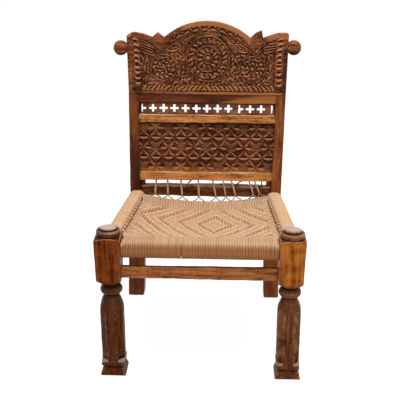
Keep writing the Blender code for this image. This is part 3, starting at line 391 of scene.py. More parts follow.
def strandMesh(name, paths, width, thick, count=6):
    # Tubes of an oval section along paths of points and outward normals, each capped, with the length along
    # the strand and the share of a turn as UV.
    points, faces, uvs = [], [], []
    marks = {"tone": [], "stain": [], "dive": []}
    base = 0
    spin = np.arange(count) * 2 * math.pi / count
    for number, path in enumerate(paths):
        line, normal = path["points"], path["normals"]
        steps = len(line)
        tangent = np.gradient(line, axis=0)
        tangent /= np.linalg.norm(tangent, axis=1)[:, None]
        side = np.cross(tangent, normal)
        side /= np.linalg.norm(side, axis=1)[:, None]
        normal = np.cross(side, tangent)
        wide = np.broadcast_to(path.get("width", width), steps)[:, None, None] / 2
        high = np.broadcast_to(path.get("thick", thick), steps)[:, None, None] / 2
        rim = (side[:, None] * np.cos(spin)[None, :, None] * wide
               + normal[:, None] * np.sin(spin)[None, :, None] * high)
        points.append((line[:, None] + rim).reshape(-1, 3))
        run = np.concatenate([[0], np.cumsum(np.linalg.norm(np.diff(line, axis=0), axis=1))]) + number * 0.0137
        i, k = np.meshgrid(np.arange(steps - 1), np.arange(count), indexing="ij")
        n = (k + 1) % count
        quads = np.stack([base + i * count + k, base + i * count + n,
                          base + (i + 1) * count + n, base + (i + 1) * count + k], -1).reshape(-1, 4)
        faces += quads.tolist()
        corners = np.stack([np.stack([run[i + ahead], (k + aside) / count], -1)
                            for ahead, aside in ((0, 0), (0, 1), (1, 1), (1, 0))], 2)
        uvs.append(corners.reshape(-1, 2))
        ends = [list(range(base + count - 1, base - 1, -1)),
                list(range(base + (steps - 1) * count, base + steps * count))]
        faces += ends
        uvs.append(np.zeros((2 * count, 2)))
        for key in marks:
            marks[key].append(np.repeat(np.broadcast_to(path.get(key, 0.0), steps), count))
        base += steps * count
    mesh = bpy.data.meshes.new(name)
    mesh.from_pydata(np.concatenate(points).tolist(), [], faces)
    layer = mesh.uv_layers.new(name="strand")
    layer.data.foreach_set("uv", np.concatenate(uvs).astype(np.float32).ravel())
    piece = bpy.data.objects.new(name, mesh)
    bpy.context.scene.collection.objects.link(piece)
    for key, values in marks.items():
        mark = mesh.attributes.new(key, "FLOAT", "POINT")
        mark.data.foreach_set("value", np.concatenate(values).astype(np.float32))
    closeUpStrands(piece)
    return piece


def closeUpStrands(piece):
    editMode(piece)
    bpy.ops.mesh.normals_make_consistent(inside=False)
    bpy.ops.object.mode_set(mode="OBJECT")
    bpy.ops.object.shade_smooth()


def smoothPath(knots, spacing):
    # Even points along a smooth curve through a few knots.
    knots = np.array(knots, float)
    padded = np.vstack([2 * knots[0] - knots[1], knots, 2 * knots[-1] - knots[-2]])
    dense = []
    for a, b, c, d in zip(padded, padded[1:], padded[2:], padded[3:]):
        for t in np.linspace(0, 1, 24, endpoint=False):
            dense.append(0.5 * (2 * b + (c - a) * t + (2 * a - 5 * b + 4 * c - d) * t ** 2
                                + (3 * b - a - 3 * c + d) * t ** 3))
    dense = np.array(dense + [knots[-1]])
    run = np.concatenate([[0], np.cumsum(np.linalg.norm(np.diff(dense, axis=0), axis=1))])
    even = np.linspace(0, run[-1], max(4, int(run[-1] / spacing)))
    return np.stack([np.interp(even, run, dense[:, k]) for k in range(3)], 1)


# Camera, light and floor

cameraSet = {"place": (0.0565, -2.1262, 1.1539), "turn": -0.0316, "dip": 0.32915, "roll": 0.0061,
             "focal": 749.87, "pixels": 400, "sensor": 36}
lightSet = {"overheadLight": {"place": (0.30, -0.45, 3.1), "target": (0, 0, 0.3), "size": 2.6, "power": 66},
            "frontLight": {"place": (0.9, -3.4, 1.5), "target": (0, 0, 0.45), "size": 2.6, "power": 20}}
skySet = {"light": ((0.96, 0.97, 1.0), 0.26), "seen": ((1, 1, 1), 1.0)}
floorSet = {"size": 60, "paper": (0.93, 0.93, 0.93), "rough": 0.9, "glow": 1.51, "share": 0.6}


def setCamera(look):
    ahead = Vector((math.sin(look["turn"]) * math.cos(look["dip"]),
                    math.cos(look["turn"]) * math.cos(look["dip"]), -math.sin(look["dip"])))
    right = ahead.cross(Vector((0, 0, 1))).normalized()
    up = right.cross(ahead)
    rolledRight = right * math.cos(look["roll"]) + up * math.sin(look["roll"])
    rolledUp = up * math.cos(look["roll"]) - right * math.sin(look["roll"])
    data = bpy.data.cameras.new("photoCamera")
    data.sensor_width = look["sensor"]
    data.lens = look["focal"] * look["sensor"] / look["pixels"]
    camera = bpy.data.objects.new("photoCamera", data)
    bpy.context.scene.collection.objects.link(camera)
    turn = Matrix((rolledRight, rolledUp, -ahead)).transposed().to_4x4()
    camera.matrix_world = Matrix.Translation(look["place"]) @ turn
    bpy.context.scene.camera = camera


def areaLight(name, look):
    data = bpy.data.lights.new(name, "AREA")
    data.shape = "DISK"
    data.size = look["size"]
    data.energy = look["power"]
    lamp = bpy.data.objects.new(name, data)
    bpy.context.scene.collection.objects.link(lamp)
    lamp.location = look["place"]
    lamp.rotation_euler = (Vector(look["target"]) - Vector(look["place"])).to_track_quat("-Z", "Y").to_euler()


def seenDirectly(tree):
    # 1 for what the camera sees, straight or in a reflection, and 0 for the light that falls on things.
    path = tree.nodes.new("ShaderNodeLightPath")
    total = path.outputs["Is Camera Ray"]
    for kind in ("Is Glossy Ray", "Is Transmission Ray"):
        both = tree.nodes.new("ShaderNodeMath")
        both.operation = "ADD"
        both.use_clamp = True
        tree.links.new(total, both.inputs[0])
        tree.links.new(path.outputs[kind], both.inputs[1])
        total = both.outputs[0]
    return total


def setSky(look):
    world = bpy.data.worlds.new("studio")
    bpy.context.scene.world = world
    world.use_nodes = True
    tree = world.node_tree
    tree.nodes.clear()
    output = tree.nodes.new("ShaderNodeOutputWorld")
    mix = tree.nodes.new("ShaderNodeMixShader")
    tree.links.new(seenDirectly(tree), mix.inputs[0])
    for place, (colour, strength) in enumerate((look["light"], look["seen"]), 1):
        sky = tree.nodes.new("ShaderNodeBackground")
        sky.inputs["Color"].default_value = (*colour, 1)
        sky.inputs["Strength"].default_value = strength
        tree.links.new(sky.outputs[0], mix.inputs[place])
    tree.links.new(mix.outputs[0], output.inputs["Surface"])


def setFloor(look):
    bpy.ops.object.select_all(action="DESELECT")
    bpy.ops.mesh.primitive_plane_add(size=look["size"], location=(0, 0, 0))
    floor = bpy.context.object
    floor.name = "studioFloor"
    paper = Finish("paperFloor")
    paper.put(paper.shader.inputs["Base Color"], (*look["paper"], 1))
    paper.put(paper.shader.inputs["Roughness"], look["rough"])
    glow = paper.node("Emission", None, {"Color": (1, 1, 1, 1), "Strength": look["glow"]})
    share = Wire(paper, seenDirectly(paper.tree)) * look["share"]
    both = paper.node("MixShader", None, {0: share, 1: Wire(paper, paper.shader.outputs[0]), 2: glow})
    paper.put(paper.output.inputs["Surface"], both)
    floor.data.materials.append(paper.material)


bpy.context.scene.view_settings.view_transform = "Standard"
setCamera(cameraSet)
for name, look in lightSet.items():
    areaLight(name, look)
setSky(skySet)
setFloor(floorSet)
print("stage: camera, light and floor")


# Carving: heights in millimetres, made of leaves, rings and bands

def lens(x, z, cx, cz, length, width, tilt):
    a = (x - cx) * math.cos(tilt) + (z - cz) * math.sin(tilt)
    b = (z - cz) * math.cos(tilt) - (x - cx) * math.sin(tilt)
    half, wide = length / 2, width / 2
    radius = (half ** 2 + wide ** 2) / (2 * wide)
    return radius - np.hypot(a, np.abs(b) + radius - wide), a, b


def carveLeaf(height, x, z, cx, cz, length, width, degrees, rise=4.2, vein=1.5, nicks=0.0):
    near = np.flatnonzero((np.abs(x - cx) < length * 0.6) & (np.abs(z - cz) < length * 0.6))
    inside, a, b = lens(x[near], z[near], cx, cz, length, width, math.radians(degrees))
    body = 0.3 + (rise - 0.3) * fade(0, width * 0.34, inside) - vein * fade(1.2, 0.2, np.abs(b))
    if nicks:
        body = body - nicks * fade(0.1, 0.9, np.cos((a + np.abs(b) * 0.9) * 2 * math.pi / 5.5))
    height[near] = np.where(inside > 0, body, height[near])


def carveBand(height, distance, half, rise):
    t = np.clip(1 - (distance / half) ** 2, 0, None)
    inside = np.abs(distance) < half
    height[inside] = np.maximum(height, rise * t ** 0.3)[inside]


def lineDistance(x, z, line):
    best = np.full_like(x, 1e9)
    for (ax, az), (bx, bz) in zip(line, line[1:]):
        dx, dz = bx - ax, bz - az
        t = np.clip(((x - ax) * dx + (z - az) * dz) / (dx * dx + dz * dz), 0, 1)
        best = np.minimum(best, np.hypot(x - ax - t * dx, z - az - t * dz))
    return best


def within(x, z, corners):
    result = np.zeros(len(x), bool)
    for (ax, az), (bx, bz) in zip(corners, corners[1:] + corners[:1]):
        crosses = (az > z) != (bz > z)
        result ^= crosses & (x < (bx - ax) * (z - az) / (bz - az + 1e-9) + ax)
    return result


def roundel(height, x, z, look):
    cx, cz = look["place"]
    r = np.hypot((x - cx) * look["squash"], z - cz)
    dice = np.random.default_rng(look["seed"])
    height[r < look["radius"]] = 0.4
    for count, near, far, width, twist, rise in look["leaves"]:
        for k in range(count):
            a = 2 * math.pi * (k + look["turn"]) / count + dice.uniform(-0.06, 0.06)
            mid = (near + far) / 2 + dice.uniform(-1, 1)
            carveLeaf(height, x, z, cx + mid * math.cos(a), cz + mid * math.sin(a),
                      (far - near) * dice.uniform(0.9, 1.1), width * dice.uniform(0.85, 1.15),
                      math.degrees(a) + twist + dice.uniform(-10, 10), rise * dice.uniform(0.78, 1.06), 1.0)
    for cxLeaf, czLeaf, length, width, tilt in look["extra"]:
        carveLeaf(height, x, z, cxLeaf, czLeaf, length, width, tilt, 4.7, 1.2, 0.6)
    uneven = wobble(np.stack([x, z, z * 0], 1), 24, look["seed"]) * 0.9
    onRing = np.zeros(len(x), bool)
    for at, half, rise in look["rings"]:
        beside = np.abs(r - at + uneven) < half + 1.4
        height[beside] = np.minimum(height, 0.3)[beside]
        carveBand(height, r - at + uneven, half, rise)
        onRing |= np.abs(r - at + uneven) < half + 0.6
    boss = look["boss"]
    dome = 4.9 * np.sqrt(np.clip(1 - (r / boss) ** 2 * 0.8, 0, 1))
    height[r < boss] = dome[r < boss]
    return onRing


crestCarving = {
    "scatter": {"columns": (-204, 212, 16.0), "rows": (30, 170, 13.0), "seed": 77},
    "roundels": [
        {"place": (-136.4, 83.0), "radius": 43.0, "squash": 1.0, "turn": 0.4, "boss": 4.5, "seed": 5,
         "leaves": [(13, 21, 41, 9.5, 44, 4.2), (9, 9, 25, 8.5, -42, 4.4), (5, 3, 13, 7.0, 25, 4.3)],
         "rings": [(41.0, 2.7, 3.1)],
         "extra": [(-121, 116, 34, 7, 10), (-150, 114, 30, 7, -28), (-140, 66, 15, 8, 15)]},
        {"place": (144.3, 79.0), "radius": 43.0, "squash": 1.0, "turn": 0.1, "boss": 6.5, "seed": 8,
         "leaves": [(13, 21, 41, 9.5, -44, 4.2), (9, 11, 26, 8.5, 42, 4.4)],
         "rings": [(41.0, 2.7, 3.1), (11.0, 2.0, 3.3)],
         "extra": [(130, 103, 20, 9, 12), (155, 108, 22, 8, -30), (130, 56, 20, 9, 60)]},
        {"place": (3.5, 111.0), "radius": 73.5, "squash": 1.053, "turn": 0.25, "boss": 9.0, "seed": 13,
         "leaves": [(22, 42, 69, 11.0, 34, 4.1), (22, 52, 68, 6.0, -28, 4.6), (12, 15, 39, 10.5, 20, 4.1),
                    (12, 26, 38, 5.5, -25, 4.6)],
         "rings": [(70.5, 3.1, 3.2), (40.5, 3.1, 3.2), (13.8, 2.3, 3.4)],
         "extra": [(-15, 54, 30, 12, 150), (22, 54, 30, 12, 30), (-46, 66, 30, 15, 118), (50, 67, 30, 15, 62),
                   (-32, 48, 20, 9, 140), (38, 49, 20, 9, 40), (3, 63, 12, 8, 90)]}],
    "foliage": [(-84, 114, 30, 11, 60), (-66, 42, 34, 12, 140), (-88, 62, 34, 13, 100), (-80, 40, 30, 11, 60),
                (-192, 46, 34, 12, 70), (-196, 76, 34, 12, 100), (-190, 104, 32, 11, 70),
                (-172, 118, 30, 9, 40),
                (-176, 34, 32, 9, 14), (-100, 35, 30, 9, 30), (-44, 36, 24, 8, 160), (82, 78, 36, 15, 60),
                (72, 48, 28, 11, 40), (92, 104, 26, 11, 120), (98, 52, 26, 10, 100), (196, 50, 36, 13, 55),
                (200, 84, 34, 12, 85), (196, 112, 32, 11, 100), (178, 120, 30, 9, 135), (190, 34, 32, 9, 165),
                (110, 36, 30, 9, 150), (52, 37, 24, 8, 20)],
    "arch": {"z": 21.2, "inner": 175.5, "outer": 191.8, "span": 47,
             "leaves": ((180.4, 0.0, 25, 9.0, 9, 4.9), (187.6, 0.5, 17, 7.0, -12, 4.4),
                        (186.8, 0.12, 11, 5.0, 40, 3.8))},
    "peaks": [[(-176, 172), (-160, 200), (-154, 200), (-137, 175), (-141, 150), (-148.3, 127.4), (-158, 143)],
              [(134, 178), (156, 200), (176, 210), (182, 178), (176, 160), (166, 140), (156.7, 126.6),
               (150, 145)]],
    "lines": [[(-148.3, 127.4), (-161.8, 145.4), (-179.4, 157.8), (-192.1, 165.6)],
              [(-148.3, 127.4), (-124.9, 147.4), (-109.5, 160.1), (-97.4, 167.1), (-75.3, 178.9),
               (-46.6, 187.5)],
              [(156.7, 126.6), (169.1, 139.4), (179.8, 152.0), (190, 163)],
              [(156.7, 126.6), (137.2, 137.5), (114.7, 155.9), (88.9, 173.9), (63.3, 186.5)]],
    "nested": [[(-159, 150), (-148.6, 137.5), (-140, 148)], [(-160, 158), (-149, 145), (-142, 154)],
               [(164, 148), (156.8, 138), (148, 146)], [(158, 189), (166, 179), (179, 169)]],
    "stems": [[(-81, 155), (-66.8, 170.7), (-39.8, 184.2)],
              [(84.3, 153), (72.3, 162.1), (58.5, 176.9), (38, 185)]],
    "stemBodies": [[(-84, 156), (-67, 171), (-40, 184), (-44, 174), (-58, 160), (-69, 140), (-78, 122),
                    (-92, 132)],
                   [(88, 154), (73, 162), (58, 177), (38, 185), (46, 174), (62, 160), (74, 140), (84, 124),
                    (98, 132)]],
    "eyes": [(-104.2, 146.2, 51, 25, 18, (-99.0, 145.4)), (106.8, 144.6, 49, 23, -30, (104.0, 145.0))],
    "fans": [{"middle": -187, "slope": -0.38, "first": 126.0, "span": (-212, -171), "root": (-148.3, 127.4)},
             {"middle": 196, "slope": 0.17, "first": 134.0, "span": (180, 214), "root": (156.7, 126.6)}],
    "beads": [[(-225.8, 169.1), (-222.8, 151.0), (-221.5, 133.2), (-221.3, 116.4), (-219.4, 99.5),
               (-219.4, 84.5),
               (-218.0, 68.0), (-217.8, 50.5), (-217.2, 34.0)],
              [(230.0, 172.8), (229.7, 156.8), (228.0, 140.0), (226.6, 122.6), (227.4, 105.8), (227.2, 85.0),
               (227.4, 66.0), (228.0, 48.4), (228.6, 31.4)]],
    "border": {"low": 8.5, "high": 28.0, "middle": -8.0, "pitch": 14.6, "ends": (-206, 216)}}


def carveGround(height, x, z, look):
    # Small leaves scattered over the whole ground, then larger leaves and the stems at their own places.
    dice = np.random.default_rng(look["scatter"]["seed"])
    for gx in np.arange(*look["scatter"]["columns"]):
        for gz in np.arange(*look["scatter"]["rows"]):
            cx, cz = gx + dice.uniform(-4, 4), gz + dice.uniform(-3, 3)
            tilt = 80 * math.sin(cx * 0.033 + cz * 0.05) + dice.uniform(-24, 24)
            carveLeaf(height, x, z, cx, cz, dice.uniform(18, 28), dice.uniform(7.5, 11.0), tilt,
                      dice.uniform(2.6, 4.4), 1.2)
    for leaf in look["foliage"]:
        carveLeaf(height, x, z, *leaf, 4.5, 1.5, 0.9)
    for body in look["stemBodies"]:
        inside = within(x, z, body)
        edge = lineDistance(x, z, body + body[:1])
        height[edge < 2.0] = 0.3
        height[inside] = (0.6 + 3.8 * np.sqrt(fade(0.0, 6.0, edge)))[inside]


def carveArch(height, x, z, rim, look):
    # Leaves in a band under the arch's plain, scalloped rim.
    r = np.hypot(x, z - look["z"])
    phi = np.degrees(np.arctan2(x, z - look["z"]))
    band = (r > look["inner"]) & (np.abs(phi) < look["span"])
    height[band] = 1.3
    for k in range(-5, 6):
        for at, shift, length, width, twist, rise in look["leaves"]:
            lean = math.radians((k + shift) * 8.9 - 2.6)
            carveLeaf(height, x, z, at * math.sin(lean), look["z"] + at * math.cos(lean), length, width,
                      -math.degrees(lean) + twist * (1 if lean < 0 else -1), rise, 1.0)
    scallop = look["outer"] + 1.1 * np.cos(phi * math.pi / 180 * look["outer"] / 16.6 * 2 * math.pi)
    plain = band & (r > scallop) & (rim < 24)
    height[plain] = 4.9
    height[(r > 186) & (np.abs(phi) >= 39) & (np.abs(x) < 150)] = 4.7
    return plain


def carveFans(height, x, z, rim, look):
    # Slanting plumes outside the two long grooves.
    plumes = np.zeros(len(x), bool)
    for fan in look:
        c = z - fan["slope"] * (x - fan["middle"])
        low, high = fan["span"]
        on = (x > low) & (x < high) & (c > fan["first"] - 7) & (c < fan["first"] + 36) & (rim > 15)
        on &= (z - fan["root"][1]) < np.abs(x - fan["root"][0]) * 1.02 - 3.0
        ridge = np.abs(np.cos((c - fan["first"]) * math.pi / 8.3)) ** 1.3
        height[on] = (0.5 + 4.3 * ridge)[on]
        plumes |= on
    return plumes


def carveEyes(height, paintedShine, x, z, look):
    for cx, cz, length, width, tilt, eye in look:
        inside = lens(x, z, cx, cz, length, width, math.radians(tilt))[0]
        face = np.where(inside < 0, 0.4, np.where(inside < 3.0, 4.7, 1.7 + 1.1 * fade(4.2, 8.0, inside)))
        height[inside > -2.2] = face[inside > -2.2]
        # A painted highlight along the eye's raised rim.
        paintedShine[:] = np.maximum(paintedShine, 0.42 * fade(-0.3, 0.6, inside) * fade(3.4, 2.4, inside))
        pupil = lens(x, z, *eye, 17, 8.5, math.radians(tilt * 0.7))[0]
        ball = np.where(pupil < 1.3, 0.5, 0.8 + 3.6 * fade(1.3, 3.2, pupil))
        height[pupil > 0] = ball[pupil > 0]


def raiseStems(height, x, z, look):
    beside = np.zeros(len(x), bool)
    for line in look:
        far = lineDistance(x, z, line)
        carveBand(height, far, 2.3, 4.7)
        beside |= far < 2.8
    return beside


def cutGrooves(height, x, z, look):
    # Long grooves with a raised edge, and the short nested ones inside the peaks.
    beside = np.zeros(len(x), bool)
    for line in look["lines"]:
        far = lineDistance(x, z, line)
        start = np.hypot(x - line[0][0], z - line[0][1])
        ridge = np.where(start < 42, 4.1, np.minimum(height, 3.8))
        cut = np.where(far < 2.1, 0.2 + 0.9 * far, np.where(far < 4.6, ridge, height))
        height[far < 4.6] = cut[far < 4.6]
        beside |= far < 4.8
    for line in look["nested"]:
        far = lineDistance(x, z, line)
        height[far < 1.3] = np.minimum(height, 2.0 + 2.2 * far)[far < 1.3]
    return beside


def carveBeads(height, paintedShine, x, z, rim, look):
    # A column of bent beads down each side, each beside its hollow.
    strip = ((x < -210.5) | (x > 215)) & (z > 20)
    height[strip & (rim > 15)] = 3.2
    for column, side in zip(look, sides):
        for number, (cx, cz) in enumerate(column):
            t = (x - cx) / 9.4
            inner = -side * t
            sense = 1 if number < 5 else -1
            hollow = np.hypot(t, (z - cz + sense * 4.0) / 6.4)
            height[hollow < 1] = np.minimum(height, 0.2 + 3.2 * fade(0.5, 1.0, hollow))[hollow < 1]
            spine = cz + sense * (2.4 - 3.8 * t * t) - (2.6 * inner if sense > 0 else 0)
            half = (4.4 - 0.9 * inner) * np.sqrt(np.clip(1 - t * t, 1e-4, 1))
            bead = 1.5 + 3.5 * np.sqrt(np.clip(1 - ((z - spine) / half) ** 2, 0, 1))
            on = (np.abs(t) < 1) & (np.abs(z - spine) < half)
            height[on] = np.maximum(height, bead)[on]
            # A painted highlight along each bead's spine.
            paintedShine[on] = np.maximum(paintedShine, 1.05 * fade(1.05, 0.3, np.abs(z - spine - 0.8) / half))[on]


def carveBorder(height, x, z, look):
    # A cable of slanted strokes along the foot, turning at its middle.
    low, high = look["low"], look["high"]
    t = (z - (low + high) / 2) / ((high - low) / 2)
    slant = np.abs(x - look["middle"]) / look["pitch"] + 0.36 * t + 0.18 * t * t
    slant = slant + wobble(np.stack([x, z, z * 0], 1), 26, 91) * 0.20
    wave = (0.5 + 0.5 * np.cos(slant * 2 * math.pi)) ** 0.8
    second = (0.5 + 0.5 * np.cos((slant * 2 + 0.35) * 2 * math.pi)) ** 0.8 * fade(0.2, -0.5, t)
    cable = 0.3 + 4.0 * np.maximum(wave ** 1.5, 0.8 * second) * np.sqrt(np.clip(1 - t * t, 0, 1)) ** 0.6
    across = (x > look["ends"][0]) & (x < look["ends"][1])
    on = (np.abs(t) < 1) & across
    height[on] = cable[on]
    height[(t > 1) & (t < 1.16) & across] = 0.5
    height[z < low - 1.2] = 4.9
    return on


def crestTints(x, z, height, rim, flank, plain, shoulder, border):
    # Golden where hands rub the rim and the foot, pale on the worn corner and soot along the flanks.
    gold = plain * band(x, -100, -55, 128, 142) + shoulder * fade(180, 194, x) * 0.7 + border * 0.62
    gold = gold + (z < 8) * fade(-120, 20, x) + 0.35 * (np.hypot(x - 3.5, z - 111) < 13)
    gold = gold + (0.02 + 0.4 * fade(90, 20, z)) * fade(15, 11, flank) * (x < 0)
    pale = 0.55 * fade(14, 6, np.minimum(rim, flank)) * (x < -236) * (z > 176)
    pale = pale + border * 0.16 * fade(0, 2.5, height) + 0.3 * (z < 8) * fade(-40, 60, x)
    pale = pale + 0.25 * band(z, 20, 45, 50, 75) * fade(80, 30, np.abs(x + 40))
    onFlank = fade(15.5, 12.5, flank)
    soot = 0.6 * band(x, -240, -224, -212, -186) * fade(32, 12, z)
    soot = np.maximum(soot, 0.72 * onFlank * (x > 0) * (0.45 + 0.55 * fade(165, 130, z)))
    soot = np.maximum(soot, 0.32 * onFlank * (x < 0) * band(z, 50, 110, 170, 185))
    return np.clip(gold, 0, 1), np.clip(pale, 0, 1), soot


def crestRelief(x, z, rim, flank, look):
    height, paintedShine = np.full_like(x, 0.3), np.zeros_like(x)
    carveGround(height, x, z, look)
    quiet = np.zeros(len(x), bool)
    for part in look["roundels"]:
        quiet |= roundel(height, x, z, part)
    plain = carveArch(height, x, z, rim, look["arch"])
    shoulder = (np.abs(x) > 172) & (rim < 17)
    height[shoulder] = 4.7
    for corners in look["peaks"]:
        height[within(x, z, corners)] = 4.6
    quiet |= carveFans(height, x, z, rim, look["fans"])
    quiet |= raiseStems(height, x, z, look["stems"])
    carveEyes(height, paintedShine, x, z, look["eyes"])
    quiet |= cutGrooves(height, x, z, look)
    carveBeads(height, paintedShine, x, z, rim, look["beads"])
    border = carveBorder(height, x, z, look["border"])
    height[(flank < 15.5) & (z < 180)] = 4.6
    gold, pale, soot = crestTints(x, z, height, rim, flank, plain, shoulder, border)
    return height, gold, pale, paintedShine, soot, quiet


def blurred(field, reach):
    # Box blur, twice each way.
    out = field
    for axis in (0, 1, 0, 1):
        pad = [(0, 0), (0, 0)]
        pad[axis] = (reach + 1, reach)
        total = np.cumsum(np.pad(out, pad, mode="edge"), axis=axis)
        size = 2 * reach + 1
        if axis == 0:
            out = (total[size:] - total[:-size]) / size
        else:
            out = (total[:, size:] - total[:, :-size]) / size
    return out


def carvedMarks(height, u, v, step, stand, sink, lit, shade):
    # Wear on what stands up and a painted highlight on what faces upwards; grime and painted shade in what lies
    # low, and painted shade on what faces down.
    order, columns = inRows(u, v)
    field = height[order].reshape(-1, columns)
    near = field - blurred(field, 4)
    rise = np.gradient(field, axis=0) / step
    worn, deep = np.empty(len(u)), np.empty(len(u))
    worn[order] = np.clip(0.10 + near * stand + np.clip(-rise, -0.3, 1.6) * lit, 0, 1.1).ravel()
    deep[order] = np.clip(-near * sink + np.clip(rise, 0, 1.2) * shade, 0, 1.1).ravel()
    return worn, deep


crestShape = {"foot": (248.3, 252.3), "flank": (252.8, 255.6), "top": 254.0, "corner": 181.0, "bottom": 0.300,
              "front": -0.003, "back": 0.035, "round": 2.6, "grid": (448, 184), "relief": 5.0,
              "marks": {"step": 1.15, "stand": 0.20, "sink": 0.68, "lit": 0.85, "shade": 0.72},
              "edge": [(-254, 181), (-243, 189), (-232, 192.5), (-203, 187.5), (-174, 177), (-156.6, 192),
                       (-136, 177)],
              "edgeRight": [(136, 177), (152.4, 193), (170, 200.5), (174, 177), (203, 187.5), (222, 193.4),
                            (249.5, 193.6), (254, 188.6)],
              "columns": ((-254, -174.5, -156.6, -136, 136, 152.4, 169.5, 174.5, 254.0),
                          (80, 18, 21, 270, 17, 17.5, 9, 79.5)),
              "archRadius": 206.8, "archHeight": 21.2, "archHalf": 136,
              "earPlace": (142.8, 148.2), "earRadius": 23.2, "earRoot": 246.0, "earReach": 296.5,
              "earNeck": 15.5, "earThick": 18.6, "earEase": 13.0}


def crestTop(x, look):
    bend = look["archHeight"] + np.sqrt(np.clip(look["archRadius"] ** 2 - x ** 2, 1, None))
    left, right = np.array(look["edge"], float), np.array(look["edgeRight"], float)
    return np.where(x < -look["archHalf"], np.interp(x, left[:, 0], left[:, 1]),
                    np.where(x > look["archHalf"], np.interp(x, right[:, 0], right[:, 1]), bend))


def crestBoard(look):
    piece, u, v = newGrid("crestBoard", *look["grid"])
    stops, weight = look["columns"]
    xTop = np.interp(u, np.concatenate([[0], np.cumsum(weight)]) / np.sum(weight), stops)
    z = v * crestTop(xTop, look)
    foot, flank = [np.where(xTop < 0, *look[key]) for key in ("foot", "flank")]
    flare = foot + (flank - foot) * np.minimum(1, z / look["corner"])
    x = xTop / look["top"] * flare
    outline = np.linspace(-look["top"], look["top"], 700)
    rim = np.full(len(x), 1e9)
    for edgeX, edgeZ in zip(outline, crestTop(outline, look)):
        rim = np.minimum(rim, np.hypot(x - edgeX, z - edgeZ))
    flank = flare - np.abs(x)
    ease = np.minimum(np.minimum(rim, flank), z)
    height, gold, pale, paintedShine, soot, quiet = crestRelief(x, z, rim, flank, crestCarving)
    flat = np.stack([x, z, z * 0], 1)
    height = height + wobble(flat, 9, 41) * 0.25 + wobble(flat, 4, 43) * 0.15
    edge = look["round"]
    drop = edge - np.sqrt(np.clip(edge ** 2 - np.clip(edge - ease, 0, edge) ** 2, 0, None))
    # Wear and painted highlights on raised and upward-facing carving, grime and painted shade on low and
    # downward-facing carving; the beads and the eyes' rims keep their painted highlights.
    worn, deep = carvedMarks(height, u, v, **look["marks"])
    worn = worn * np.where(quiet, 0.62, 1.0)
    worn = np.maximum(np.maximum(worn, 0.36 * fade(2.5, 0.6, ease)), paintedShine)
    deep = np.maximum(deep * (1 - np.minimum(paintedShine, 1)), soot)
    depth = (look["relief"] - height) * 0.001 + drop * 0.001
    points = np.stack([x * 0.001, look["front"] + depth, look["bottom"] + z * 0.001], 1)
    setPoints(piece, points, worn=worn, deep=deep, gold=gold, pale=pale)
    thicken(piece, look["back"], 0.002)
    pick(piece, *[crestEar(look, side) for side in sides])
    bpy.ops.object.join()
    setPoints(piece, placed(getPoints(piece), backPlace))
    bpy.ops.object.shade_smooth_by_angle(angle=math.radians(50))
    return piece


def crestEar(look, side):
    ear, u, v = newGrid("ear", 48, 60)
    centre = look["earReach"] - look["earRadius"]
    x = look["earRoot"] + (look["earReach"] - look["earRoot"]) * np.sin(v * math.pi / 2)
    disc = np.sqrt(np.clip(look["earRadius"] ** 2 - (x - centre) ** 2, 0, None))
    tall = np.where(x < centre, np.maximum(disc, look["earNeck"]), disc)
    tall = np.maximum(tall, 0.05)
    thick = look["earThick"] * np.clip(1 - np.clip((x - centre) / look["earRadius"], 0, 1) ** 5, 0.02, 1)
    a, b, corner = ring(u, tall, thick, np.minimum(np.minimum(tall, thick) * 0.98, look["earEase"]))
    middle = (look["front"] + look["back"]) / 2 * 1000 + 0.4
    place = look["earPlace"][side > 0]
    points = np.stack([side * x, middle + b, look["bottom"] * 1000 + place + a], 1) * 0.001
    # Painted highlight on the top of each ear and painted shade on its lower half; the rounded edges a little
    # worn, darker towards the root, a dark crack across the right ear's neck, and the right ear a little darker
    # all over.
    worn = fade(10, 22, a) * 0.50 + corner * 0.12 - 0.15
    crack = fade(2.2, 0.8, np.abs(a - 6.5 - 0.2 * (x - 255))) * fade(272, 264, x) * (side > 0)
    low = fade(-2, -20, a) * 0.75 + 0.22 * (side > 0)
    setPoints(ear, points, worn=worn, deep=fade(258, 250, x) * 0.5 + crack + low, gold=0.0,
              pale=fade(17, 22, a) * 0.4)
    closeUp(ear, 50)
    return ear


panelShape = {"left": -217.6, "right": 221.6, "low": 44.0, "high": 208.0, "front": 0.0105, "back": 0.0207,
              "grid": (380, 144), "pitch": 40.9, "squash": 1.073, "swell": 1.045, "slope": 0.65,
              "rosettes": ((0, (-4, -2, 0, 2, 4)), (2, (-5, -3, -1, 1, 3, 5)), (-2, (-5, -3, -1, 1, 3, 5))),
              "rosette": 17.2, "firstRing": 5.3, "ringPitch": 5.8, "boss": 2.6,
              "marks": {"step": 1.14, "stand": 0.07, "sink": 0.22, "lit": 1.35, "shade": 0.95},
              "fielding": ((0.020, 0.0), (0.006, 0.0056))}


def panelRelief(x, z, look):
    # Circles on a triangular grid cut the ground into petals, with ringed rosettes over some of the crossings.
    a = look["pitch"]
    zz = z * look["squash"]
    rowStep = a * math.sqrt(3) / 2
    p = zz / rowStep
    q = x / a - p * 0.5
    i, j = np.floor(q), np.floor(p)
    upper = (q - i) + (p - j) >= 1
    corners = [(np.where(upper, i + 1, i), np.where(upper, j + 1, j)), (i + 1, j), (i, j + 1)]
    places = [np.stack([a * (ci + 0.5 * cj), rowStep * cj], -1) for ci, cj in corners]
    here = np.stack([x, zz], -1)
    petal = np.full_like(x, -1e9)
    for k in range(3):
        far = places[(k + 1) % 3] + places[(k + 2) % 3] - places[k]
        petal = np.maximum(petal, a * look["swell"] - np.linalg.norm(here - far, axis=-1))
    height = np.where(petal > 0, -petal * look["slope"], 0.12 * petal)
    for row, numbers in look["rosettes"]:
        for n in numbers:
            r = np.hypot(x - n * a, zz - row * rowStep)
            rings = -1.9 + 1.7 * np.cos((r - look["firstRing"]) / look["ringPitch"] * 2 * math.pi) - 0.02 * r
            rings = np.where(r < look["boss"], -0.4 - 0.12 * r * r, rings)
            height = np.where(r < look["rosette"], rings, height)
    return height, petal < 0


